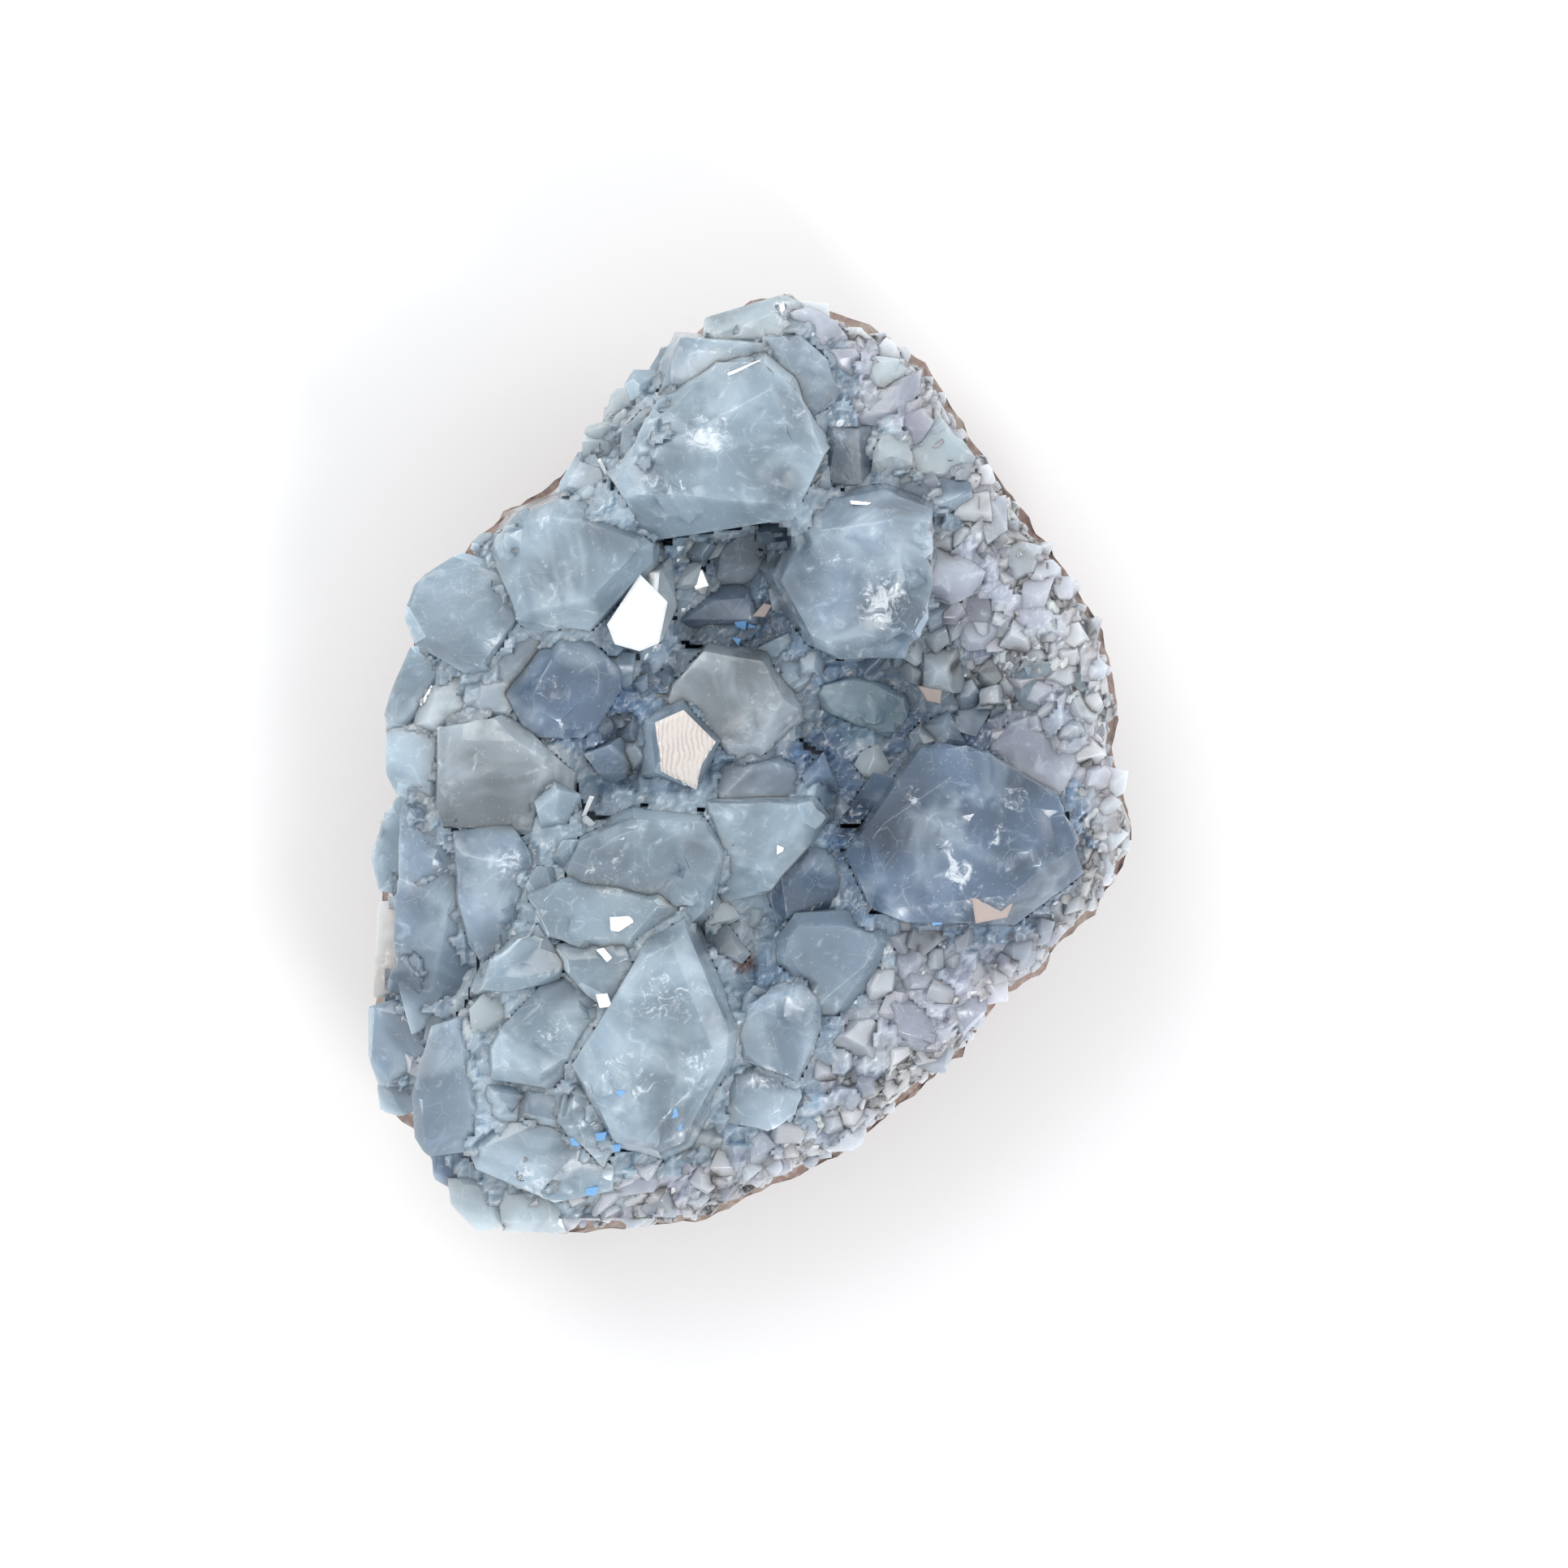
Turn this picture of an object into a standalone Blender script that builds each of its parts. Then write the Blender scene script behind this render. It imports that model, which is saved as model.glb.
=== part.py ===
"""Celestite specimen: blue crystals grown together on a piece of geode wall.

Two pieces: the pale granular wall, which lies on a small flat spot, and the
crystals that line it, grown together in one crust.  Lengths below are in
millimetres and are turned into metres when a mesh is made.  X runs right,
Y runs up the specimen and Z points out of the hollow.
"""

import math
import random

import bmesh
import bpy
from mathutils import Vector, noise

MM = 0.001

# Geode wall
WALL_ANGLES = 54
FLAT_SPOT = (11.0, 14.0)
FLAT_CENTRE = (-3.0, -2.3)
FLAT_SHARE = 0.3
UNDERSIDE_RINGS = (0.4, 0.5, 0.6, 0.7, 0.79, 0.87, 0.94, 1.0)
UPPER_RINGS = (0.985, 0.95, 0.88, 0.78, 0.62, 0.42, 0.2)
RIM_HEIGHT = 18.5
RIM_RISE = 5.5
BAND_HEIGHT = 24.5
HOLLOW_HEIGHT = 11.0
LUMP_HEIGHT = 0.9
UNDERSIDE_LUMPS = 2.6
GAP = 0.4

# Crust that the crystals stand on
CRUST_DEPTH = 3.6

# Crystals
MOST_SIDES = 8
SMALL_SEED = 11
FLOOR_CRYSTALS = 18
RIM_FROM = -112
RIM_TO = 82
RIM_ROWS = ((33, 3.3), (24, 6.2))

# Outline of the wall seen from above, clockwise from the top
WALL_OUTLINE = (
    (3.5, 49.0), (6, 47.8), (10, 46.3), (12, 46), (15, 43.5), (18, 41.6),
    (20, 38.6), (22.8, 34), (26, 29.7), (29, 25), (31.8, 21.5), (34, 18.2),
    (36.4, 14), (37.8, 9), (38.2, 6), (37.6, 2), (38.2, -1.5), (39.4, -5),
    (39.4, -9), (37.7, -12), (35.5, -15.6), (32, -18.6), (29.7, -22),
    (25.8, -24.2), (22, -29.7), (16, -35), (12, -38.5), (7.5, -41.6),
    (2, -44), (-4, -47), (-8, -48), (-14, -48.5), (-20, -48.6),
    (-26, -48), (-30, -45.6), (-32.8, -42), (-34.6, -38.6), (-38.2, -35),
    (-39, -31), (-39, -24), (-38.6, -16), (-38.4, -9.5), (-36.4, -3),
    (-37, 3), (-35.6, 9), (-34.6, 16), (-31, 21), (-26, 25.8), (-21, 29),
    (-16.6, 33.6), (-13, 37.6), (-9, 42.6), (-4, 46.1), (0, 47.8),
)


def outline_radius(outline, angle):
    """Distance from the middle to the outline in one direction."""
    ray = Vector((math.cos(angle), math.sin(angle)))
    best = 0.0
    for index, start in enumerate(outline):
        a = Vector(start)
        b = Vector(outline[(index + 1) % len(outline)])
        side = b - a
        bottom = ray.x * side.y - ray.y * side.x
        if abs(bottom) < 1e-9:
            continue
        along = (a.x * side.y - a.y * side.x) / bottom
        share = (a.x * ray.y - a.y * ray.x) / bottom
        if along > 0 and -1e-6 <= share <= 1 + 1e-6:
            best = max(best, along)
    return best


def smooth(low, high, value):
    """Ease from 0 at low to 1 at high."""
    t = min(max((value - low) / (high - low), 0.0), 1.0)
    return t * t * (3 - 2 * t)


def rim_height(angle):
    """The wall stands higher on the right, where its broken edge shows."""
    right = smooth(-0.6, 0.7, math.cos(angle - math.radians(12)))
    return RIM_HEIGHT + RIM_RISE * right


def band_share(angle):
    """How much of a pale broken band the rim shows in this direction."""
    return smooth(-0.35, 0.35, math.cos(angle - math.radians(8)))


def wall_top(share, angle):
    """Height of the wall's upper side at a share of the outline's radius."""
    band = BAND_HEIGHT + 2.0 * band_share(angle)
    rim = rim_height(angle)
    if share > 0.88:
        return band + (rim - band) * smooth(0.88, 1.0, share) ** 1.5
    return HOLLOW_HEIGHT + (band - HOLLOW_HEIGHT) * smooth(0.1, 0.9, share)


def finish(name, bm, color, roughness):
    """Turn a bmesh in millimetres into an object with its own material."""
    bmesh.ops.recalc_face_normals(bm, faces=bm.faces)
    bmesh.ops.scale(bm, vec=(MM, MM, MM), verts=bm.verts)
    mesh = bpy.data.meshes.new(name)
    bm.to_mesh(mesh)
    bm.free()
    body = bpy.data.objects.new(name, mesh)
    bpy.context.scene.collection.objects.link(body)
    material = bpy.data.materials.new(name)
    material.use_nodes = True
    shader = material.node_tree.nodes["Principled BSDF"]
    shader.inputs["Base Color"].default_value = (*color, 1.0)
    shader.inputs["Roughness"].default_value = roughness
    shader.inputs["Metallic"].default_value = 0.0
    mesh.materials.append(material)
    return body


def hide(body):
    """Mark a cutter, which is not a piece of the specimen."""
    body.hide_render = True
    body.display_type = "WIRE"


def wall_mesh(grow=0.0, deepen=0.0):
    """The geode wall as closed rings of points, pushed out by grow.

    A deepened wall reaches further down, so that as a cutter it also takes
    away what would stick out below the wall.
    """
    bm = bmesh.new()
    rings = []
    for share in UNDERSIDE_RINGS:
        rings.append(("under", share))
    for share in UPPER_RINGS:
        rings.append(("upper", share))
    loops = [flat_spot_loop(bm)]
    for side, share in rings:
        loop = []
        for step in range(WALL_ANGLES):
            angle = 2 * math.pi * step / WALL_ANGLES
            radius = outline_radius(WALL_OUTLINE, angle) * share
            x = radius * math.cos(angle)
            y = radius * math.sin(angle)
            if side == "under":
                lift = rim_height(angle) * smooth_bowl(share)
            else:
                lift = wall_top(share, angle)
            point = Vector((x, y, lift))
            if side == "under":
                lump = noise.noise(point * 0.085) + 0.55 * noise.noise(point * 0.2)
                fade = smooth(0.3, 0.6, share) * (1 - smooth(0.86, 1.0, share))
                point.z += UNDERSIDE_LUMPS * lump * fade
                squeeze = 1.0 + 0.03 * noise.noise(point * 0.12) * fade
                point.x *= squeeze
                point.y *= squeeze
            else:
                lump = noise.noise(point * 0.16) + 0.6 * noise.noise(point * 0.37)
                point.z += LUMP_HEIGHT * lump
            loop.append(bm.verts.new(point))
        loops.append(loop)
    for loop, share in zip(loops, (FLAT_SHARE, *UNDERSIDE_RINGS)):
        for vert in loop:
            vert.co.z -= deepen * (1 - share) ** 0.3
    for inner, outer in zip(loops, loops[1:]):
        for step in range(WALL_ANGLES):
            following = (step + 1) % WALL_ANGLES
            bm.faces.new((inner[step], inner[following], outer[following]))
            bm.faces.new((inner[step], outer[following], outer[step]))
    bm.faces.new(loops[0])
    middle = bm.verts.new((0, 0, HOLLOW_HEIGHT - 0.3))
    last = loops[-1]
    for step in range(WALL_ANGLES):
        bm.faces.new((last[step], last[(step + 1) % WALL_ANGLES], middle))
    bmesh.ops.recalc_face_normals(bm, faces=bm.faces)
    if grow:
        bm.normal_update()
        moves = [(vert, vert.normal.copy()) for vert in bm.verts]
        for vert, normal in moves:
            vert.co += normal * grow
    return bm


def flat_spot_loop(bm):
    """The small flat spot that the specimen rests on."""
    loop = []
    for step in range(WALL_ANGLES):
        angle = 2 * math.pi * step / WALL_ANGLES
        wobble = 1.0 + 0.12 * noise.noise(Vector((math.cos(angle), math.sin(angle), 3.0)))
        x = FLAT_CENTRE[0] + FLAT_SPOT[0] * wobble * math.cos(angle)
        y = FLAT_CENTRE[1] + FLAT_SPOT[1] * wobble * math.sin(angle)
        loop.append(bm.verts.new((x, y, 0.0)))
    return loop


def smooth_bowl(share):
    """Shape of the rounded underside, from the flat spot to the rim."""
    t = max(share - FLAT_SHARE, 0.0) / (1 - FLAT_SHARE)
    return 0.3 * t + 0.7 * t ** 3


def hull_of(points):
    """Corners of the convex outline around points, anticlockwise."""
    ordered = sorted(set(points))
    lower = []
    upper = []
    for chain, run in ((lower, ordered), (upper, ordered[::-1])):
        for point in run:
            while len(chain) > 1:
                ax, ay = chain[-2]
                bx, by = chain[-1]
                if (bx - ax) * (point[1] - ay) - (by - ay) * (point[0] - ax) > 0:
                    break
                chain.pop()
            chain.append(point)
    return lower[:-1] + upper[:-1]


def simplified(corners, most):
    """Drop the least telling corners until only most are left."""
    corners = list(corners)
    while len(corners) > most:
        areas = []
        for index, corner in enumerate(corners):
            before = corners[index - 1]
            after = corners[(index + 1) % len(corners)]
            area = (corner[0] - before[0]) * (after[1] - before[1])
            area -= (corner[1] - before[1]) * (after[0] - before[0])
            areas.append((abs(area), index))
        corners.pop(min(areas)[1])
    return corners


def tilted(azimuth, slope):
    """Unit vector that leans from straight up by slope degrees."""
    a = math.radians(azimuth)
    s = math.radians(slope)
    return Vector((math.sin(s) * math.cos(a), math.sin(s) * math.sin(a), math.cos(s)))


def crystal_planes(top, outline, tilt=(0, 0), bevel=(1.2, 48), flare=5, lean=(0, 0), cuts=(), root=None):
    """Planes that bound one crystal: cap, chamfers, walls, root and cuts."""
    corners = simplified(hull_of(outline), MOST_SIDES)
    middle = Vector((sum(c[0] for c in corners), sum(c[1] for c in corners))) / len(corners)
    cap_point = Vector((middle.x, middle.y, top))
    cap_normal = tilted(*tilt)
    axis = tilted(*lean)
    rng = random.Random(int(middle.x * 31 + middle.y * 57 + top * 7))
    planes = [(cap_point, cap_normal)]
    for index, corner in enumerate(corners):
        after = corners[(index + 1) % len(corners)]
        side = Vector((after[0] - corner[0], after[1] - corner[1]))
        if side.length < 0.5:
            continue
        outward = Vector((side.y, -side.x, 0)).normalized()
        centre = Vector(((corner[0] + after[0]) / 2, (corner[1] + after[1]) / 2, 0))
        rise = -(cap_normal.x * (centre.x - middle.x) + cap_normal.y * (centre.y - middle.y))
        centre.z = top + rise / cap_normal.z
        along = Vector((side.x, side.y, 0)).normalized()
        wall = along.cross(axis).normalized()
        if wall.dot(outward) < 0:
            wall.negate()
        wall = (wall + Vector((0, 0, math.tan(math.radians(flare))))).normalized()
        planes.append((centre, wall))
        width = bevel[0] * rng.choice((0.25, 0.4, 0.7, 1.0, 1.5, 2.0))
        slope = math.radians(bevel[1] + rng.uniform(-12, 12))
        inner = centre - outward * width
        drop = cap_normal.x * (inner.x - middle.x) + cap_normal.y * (inner.y - middle.y)
        inner.z = top - drop / cap_normal.z
        planes.append((inner, outward * math.sin(slope) + Vector((0, 0, math.cos(slope)))))
    for azimuth, slope, reach in cuts:
        a = math.radians(azimuth)
        point = cap_point + Vector((reach * math.cos(a), reach * math.sin(a), 0))
        planes.append((point, tilted(azimuth, slope)))
    foot = wall_height_at(middle.x, middle.y) - 2.5 if root is None else root
    planes.append((Vector((middle.x, middle.y, foot)), -axis))
    return planes


def wall_height_at(x, y):
    """Height of the wall's upper side below a point."""
    angle = math.atan2(y, x)
    reach = outline_radius(WALL_OUTLINE, angle)
    share = min(math.hypot(x, y) / reach, 1.0)
    return wall_top(share, angle)


def convex_body(planes):
    """Corners of the solid that lies inside every plane."""
    bm = bmesh.new()
    bmesh.ops.create_cube(bm, size=150)
    for point, normal in planes:
        everything = bm.verts[:] + bm.edges[:] + bm.faces[:]
        bmesh.ops.bisect_plane(
            bm, geom=everything, dist=0.0005, plane_co=point, plane_no=normal, clear_outer=True
        )
        rim = [edge for edge in bm.edges if edge.is_boundary]
        if rim:
            bmesh.ops.contextual_create(bm, geom=rim)
    bmesh.ops.remove_doubles(bm, verts=bm.verts, dist=0.12)
    corners = [vert.co.copy() for vert in bm.verts]
    bm.free()
    return corners


def add_hull(bm, corners):
    """Add the convex solid around corners to a mesh."""
    part = bmesh.new()
    for corner in corners:
        part.verts.new(corner)
    result = bmesh.ops.convex_hull(part, input=part.verts[:])
    loose = [item for item in result["geom_interior"] if isinstance(item, bmesh.types.BMVert)]
    bmesh.ops.delete(part, geom=loose, context="VERTS")
    bmesh.ops.dissolve_limit(part, angle_limit=math.radians(0.6), verts=part.verts, edges=part.edges)
    bmesh.ops.recalc_face_normals(part, faces=part.faces)
    copies = {vert: bm.verts.new(vert.co) for vert in part.verts}
    for face in part.faces:
        bm.faces.new([copies[vert] for vert in face.verts])
    part.free()


# Large and middling crystals: height of the cap, outline of the cap seen from
# above, tilt of the cap (direction, degrees), chamfer (width, slope), flare of
# the walls, lean of the whole crystal and extra facets (direction, slope, reach).
CRYSTALS = (
    # Top of the specimen
    dict(top=43.0, outline=((-13.7, 28.5), (-12.7, 25), (-10, 22.5), (4.3, 24.8), (7.4, 31.2),
         (4, 38.5), (1.3, 40.6), (-3, 40.2), (-9, 36), (-12, 32)),
         tilt=(110, 4), bevel=(0.9, 50), lean=(-90, 8), cuts=((-96, 52, 6.2), (-12, 30, 7.0), (160, 20, 6.0))),
    dict(top=38.0, outline=((-7, 43.6), (1.5, 42.9), (1.7, 41), (-2, 39), (-9.5, 37.6)),
         tilt=(100, 14), bevel=(0.8, 40)),
    dict(top=36.0, outline=((1.5, 43.6), (5, 43.9), (7.8, 41.5), (8.8, 38), (5, 34), (1, 40)),
         tilt=(60, 14), bevel=(1.0, 40)),
    dict(top=31.5, outline=((-4.6, 46), (3.4, 48.4), (5.6, 47.4), (4.4, 43), (-5, 43)),
         tilt=(95, 12), flare=1, root=25),
    dict(top=32.5, outline=((4.1, 46.5), (6, 47), (8.6, 45.7), (10, 44), (10.4, 42), (9.8, 39), (6, 41)),
         tilt=(40, 10), bevel=(1.3, 35), flare=1, root=25),
    dict(top=32.0, outline=((12, 41.5), (13, 42), (15.6, 41.6), (15.9, 40.4), (14.6, 38.3), (12, 38.8)),
         tilt=(60, 18), bevel=(0.5, 40)),
    dict(top=32.5, outline=((9.8, 36), (11.8, 38.6), (15, 38.8), (17.3, 40.2), (17.3, 38.3), (14.5, 35), (10.5, 34.8)),
         tilt=(120, 12), bevel=(0.9, 40)),
    dict(top=33.0, outline=((12.5, 29), (12.7, 32), (13.5, 33.6), (15.8, 34.6), (17.4, 29), (15, 27.2)),
         tilt=(-60, 16), bevel=(0.6, 45), cuts=((40, 28, 1.0),)),
    dict(top=31.5, outline=((16.2, 34), (19.5, 35.8), (23, 31.6), (22.5, 29.8), (17.3, 28.6)),
         tilt=(40, 14), bevel=(0.8, 40)),
    dict(top=33.5, outline=((8.0, 35.4), (12.4, 34.6), (12.6, 28), (8, 27), (7, 31)),
         tilt=(0, 22), bevel=(0.8, 40)),
    # Right
    dict(top=41.5, outline=((3.5, 18.5), (4.5, 22.5), (6.8, 25.8), (10, 26.9), (14, 27.2), (18.6, 25.5),
         (18.6, 18.6), (17.2, 12.6), (16, 10.9), (13, 10.4), (9.5, 10.6), (7, 11.9), (5.2, 14.6)),
         tilt=(150, 3), bevel=(1.1, 46), lean=(-60, 8), cuts=((-86, 50, 5.6), (205, 32, 5.4), (20, 18, 4.5))),
    dict(top=34.0, outline=((2.6, 20.4), (3.9, 22.9), (5.2, 22), (4.8, 19), (3.3, 18.4)),
         tilt=(190, 20), bevel=(0.4, 45)),
    dict(top=33.0, outline=((15.5, 28.8), (20, 29.4), (22.6, 29), (22.9, 27.6), (20, 25.6), (15, 26)),
         tilt=(80, 20), bevel=(0.6, 40)),
    dict(top=31.5, outline=((17, 24), (19, 25), (21, 24.4), (22, 22.6), (20.8, 20.5), (17, 21)),
         tilt=(70, 12), bevel=(0.8, 40)),
    dict(top=33.0, outline=((17.8, 21.6), (20, 22.3), (22.2, 21.2), (24.2, 19.8), (23.5, 17.8), (21, 16.3), (17.6, 17)),
         tilt=(20, 14), bevel=(0.7, 42)),
    dict(top=31.0, outline=((19.7, 26.3), (21, 27.3), (22.7, 26.9), (21.6, 24.6), (19.5, 24.5)),
         tilt=(60, 16), bevel=(0.4, 45)),
    dict(top=31.0, outline=((20.3, 16), (22, 18), (24, 18.1), (26.2, 16.5), (26.2, 14), (24.4, 12), (22.6, 11.7),
         (20.8, 13)), tilt=(-20, 12), bevel=(0.7, 45)),
    dict(top=30.5, outline=((27, 9.5), (29.5, 10.8), (32, 10), (35, 9.6), (35.6, 6), (34.5, 3.8), (30, 3.4),
         (28.2, 5.2), (27.2, 7.4)), tilt=(200, 8), bevel=(0.9, 42), flare=2),
    dict(top=27.5, outline=((17.2, 8), (19, 11.2), (21, 12.2), (22.4, 10.5), (24.3, 8), (21.4, 6), (18.2, 6)),
         tilt=(230, 16), bevel=(0.7, 45)),
    dict(top=26.5, outline=((17.9, 4.5), (18.5, 6.2), (20.5, 6), (23.2, 5.7), (24.3, 4), (24, 1.4), (20, 1.4),
         (18.2, 2.8)), tilt=(200, 12), bevel=(0.7, 45)),
    dict(top=32.0, outline=((24.2, 0.3), (25, 2.2), (27, 4.2), (29, 5), (31, 3.6), (33.2, 3.1), (33.9, 0),
         (33.8, -3), (31, -3.5)), tilt=(60, 10), bevel=(0.6, 45), cuts=((170, 20, 2.6),)),
    dict(top=29.0, outline=((33.3, 1), (35, 2.1), (36.7, 1.2), (37.4, -1), (37, -3), (35.4, -3.9), (33.5, -3.5)),
         tilt=(20, 14), bevel=(0.9, 40), flare=1, root=24.5),
    dict(top=27.5, outline=((35.4, -4), (38.2, -3.4), (39.3, -6), (39.2, -9), (38, -10), (36.6, -8.5)),
         tilt=(0, 14), bevel=(1.1, 35), flare=0, root=25),
    dict(top=41.0, outline=((10, -9), (12, -6), (14.2, -2.8), (17.6, 1.6), (20, 1.9), (24.4, 1), (28, -0.8),
         (31.5, -3.6), (34, -8), (33.8, -11), (32, -13.1), (29.5, -15.2), (27, -16.2), (22, -16.4), (16, -16),
         (12.6, -14.6)), tilt=(-60, 3), bevel=(1.3, 44), flare=3, root=23.5,
         cuts=((125, 34, 7.0), (-80, 20, 4.6), (10, 16, 6.0), (-30, 26, 9.2))),
    # Middle
    dict(top=31.5, outline=((-15, 14), (-13.4, 18), (-10.6, 20), (-8, 20.6), (-7.6, 15.8), (-9, 12.7), (-11.5, 11.2)),
         tilt=(-62, 20), bevel=(0.3, 60), flare=9, lean=(-60, 14)),
    dict(top=27.0, outline=((-8.4, 21.6), (-6.5, 21.4), (-4.2, 19.3), (-4.6, 17.6), (-7, 17.8)),
         tilt=(-40, 24), bevel=(0.5, 45)),
    dict(top=25.5, outline=((-5, 21), (-3.5, 24.5), (3.6, 24.5), (4, 20), (2.6, 17), (-3.6, 17.6)),
         tilt=(-90, 26), bevel=(1.0, 40)),
    dict(top=26.0, outline=((-9, 12.5), (-8, 15.6), (-5, 18.3), (-1.5, 18.6), (2, 17.3), (3.2, 15), (1, 11.6),
         (-5, 11.6)), tilt=(-80, 12), bevel=(1.0, 45), cuts=((-15, 34, 2.6), (-110, 28, 3.2))),
    dict(top=32.0, outline=((-9.3, 6.8), (-6, 10.6), (-4.2, 12.2), (1.5, 11.4), (4.9, 6), (5, 4.6), (3.4, 2.7),
         (1, 1), (-2, 1.3), (-6.5, 5)), tilt=(110, 6), bevel=(0.5, 55), flare=6, cuts=((-8, 26, 3.6),)),
    dict(top=29.0, outline=((1, 12), (4, 13.5), (6.1, 11.3), (6.4, 9.8), (5.9, 8), (4.4, 7), (1, 8)),
         tilt=(20, 16), bevel=(0.8, 42)),
    dict(top=34.0, outline=((-9.8, 4.3), (-6.8, 5.8), (-3.3, 2.2), (-4.4, 0.4), (-5.2, -1.7), (-6.5, -2.2),
         (-9.2, -0.9)), tilt=(-30, 15), bevel=(0.2, 60), flare=16, lean=(-40, 8)),
    dict(top=28.5, outline=((-18.4, 1.3), (-16.3, 2), (-14.3, 2.6), (-12.8, 3), (-11.2, 1), (-11, -2), (-14.6, -2.2),
         (-18, -1)), tilt=(60, 12), bevel=(0.6, 45), cuts=((-60, 30, 0.6),)),
    dict(top=28.0, outline=((-18.4, -3.2), (-14, -2.6), (-10.3, -1.8), (-9.8, -4.6), (-12, -6.4), (-17.5, -7.6)),
         tilt=(-100, 12), bevel=(0.7, 45), cuts=((160, 26, 2.0),)),
    dict(top=29.0, outline=((-9.6, -3.8), (-8, -2.8), (-5.2, -3.2), (-4.8, -5), (-6, -6.2), (-9, -5.6)),
         tilt=(-40, 10), bevel=(0.4, 45)),
    dict(top=24.5, outline=((3.4, 3.1), (5.6, 2.8), (8.2, 2.4), (7.4, 0), (6.5, -1.2), (3.4, 1.2)),
         tilt=(40, 22), bevel=(0.5, 45)),
    dict(top=24.0, outline=((8.7, 3.1), (12, 2.2), (11.2, 0.6), (9.5, 0.6)),
         tilt=(-40, 24), bevel=(0.4, 45)),
    dict(top=27.5, outline=((6.6, 6), (7, 8), (10.5, 9), (14.8, 8.2), (17.2, 6.6), (15, 2.8), (13.2, 3.2), (9, 5.2)),
         tilt=(-100, 18), bevel=(0.4, 50)),
    dict(top=31.0, outline=((-4.4, -3.6), (-3.6, -0.2), (-1, 1.2), (3, 1.2), (5.8, 0.5), (6.8, -2), (8.2, -5),
         (4, -5.5)), tilt=(75, 12), bevel=(0.6, 45), cuts=((10, 34, 4.6),)),
    dict(top=36.5, outline=((-4, -4.1), (1.5, -4.2), (6.2, -3.9), (7.4, -5.5), (6.6, -7.4), (3.6, -8.9), (2, -12.6),
         (-0.5, -12.8), (-3, -13.6), (-4, -12)), tilt=(120, 6), bevel=(0.3, 60), flare=8,
         cuts=((-112, 44, 2.8), (-30, 28, 2.0))),
    dict(top=33.0, outline=((3.2, -8.6), (6.5, -7), (8.3, -5), (10, -9), (10.2, -11), (9.6, -13.2), (8, -15),
         (3, -16.6), (2, -13)), tilt=(-20, 28), bevel=(0.4, 50), flare=8),
    dict(top=31.0, outline=((-4.1, -14.6), (-1.5, -13.2), (1.2, -12), (2.2, -13.5), (2.4, -17.5), (0.5, -18.3),
         (-3.8, -16.2)), tilt=(-60, 16), bevel=(0.7, 45), cuts=((60, 30, 0.8),)),
    dict(top=28.0, outline=((-4.7, -16), (-0.5, -17), (1.5, -18), (2.8, -20.8), (0, -22.3), (-4.3, -22)),
         tilt=(-20, 18), bevel=(0.6, 45)),
    # Lower right
    dict(top=34.5, outline=((2.9, -18), (4.7, -15.4), (10, -15.2), (14.1, -16.8), (13.3, -20), (11.5, -23.6),
         (10, -25.8), (8, -26.2), (6, -23), (2.9, -20.6)), tilt=(-70, 8), bevel=(0.8, 45), flare=7,
         cuts=((88, 46, 3.6),)),
    dict(top=35.5, outline=((-0.4, -24), (2, -23.3), (4, -22.2), (5.4, -22.6), (7.2, -25), (7.3, -27), (5.9, -30.2),
         (4.8, -32.2), (2, -31.5), (-1, -30.2), (-1.4, -27.3)), tilt=(-30, 7), bevel=(0.8, 42), flare=7,
         cuts=((100, 26, 3.2),)),
    dict(top=31.0, outline=((-4.2, -22), (0.2, -22.2), (0.2, -25), (-1.3, -28.2), (-3.8, -25.4)),
         tilt=(160, 18), bevel=(0.6, 45)),
    dict(top=33.5, outline=((-2.5, -30.6), (0, -30.6), (4.7, -32), (5.2, -34), (4.3, -36), (2, -37.5), (0, -37.7),
         (-2.1, -36.7), (-2.8, -34)), tilt=(-60, 10), bevel=(0.8, 42)),
    dict(top=29.0, outline=((-5.4, -32), (-2, -32.5), (-1.6, -37.6), (-5.2, -37.2)),
         tilt=(-90, 16), bevel=(0.7, 45)),
    dict(top=27.5, outline=((3.8, -35.8), (5.6, -35.8), (6.2, -38), (5, -39.2), (3.6, -37.6)),
         tilt=(-40, 22), bevel=(0.4, 45)),
    dict(top=28.5, outline=((7, -25), (12.6, -23.5), (13.4, -28), (10, -31), (6.2, -30)),
         tilt=(-40, 14), bevel=(0.9, 42)),
    dict(top=31.5, outline=((12.9, -18.8), (14, -17), (16.2, -18), (16.2, -20.2), (14, -20.6)),
         tilt=(-30, 20), bevel=(0.4, 45)),
    dict(top=32.0, outline=((14, -25), (16.5, -23), (19.8, -23.8), (20, -29.4), (15, -29.2)),
         tilt=(-20, 14), bevel=(0.7, 42)),
    dict(top=31.5, outline=((20.3, -24.6), (22, -23.3), (24.4, -22.9), (24.3, -25.3), (22, -28), (20.6, -26.5)),
         tilt=(-30, 16), bevel=(0.6, 42), flare=2),
    dict(top=32.0, outline=((14.4, -19.5), (18.5, -17.4), (20.4, -20), (19, -23), (15, -23)),
         tilt=(60, 12), bevel=(0.8, 42)),
    dict(top=31.0, outline=((20.4, -17.2), (25.6, -16.8), (26.5, -20), (24, -22.6), (20.4, -22.2)),
         tilt=(-10, 12), bevel=(0.8, 42), flare=2),
    dict(top=30.0, outline=((8, -30.6), (13.6, -28.4), (14.6, -31), (11, -34.6), (7, -33.6)),
         tilt=(-50, 16), bevel=(0.7, 42)),
    dict(top=29.0, outline=((7, -34), (10.6, -34.6), (9.8, -37.4), (7.2, -38.4), (6.2, -36)),
         tilt=(-60, 18), bevel=(0.6, 42), flare=2),
    # Left
    dict(top=36.0, outline=((-35.7, 15), (-34.2, 18.6), (-32, 20.6), (-30, 22), (-26.5, 20.9), (-24.2, 20.2),
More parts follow.
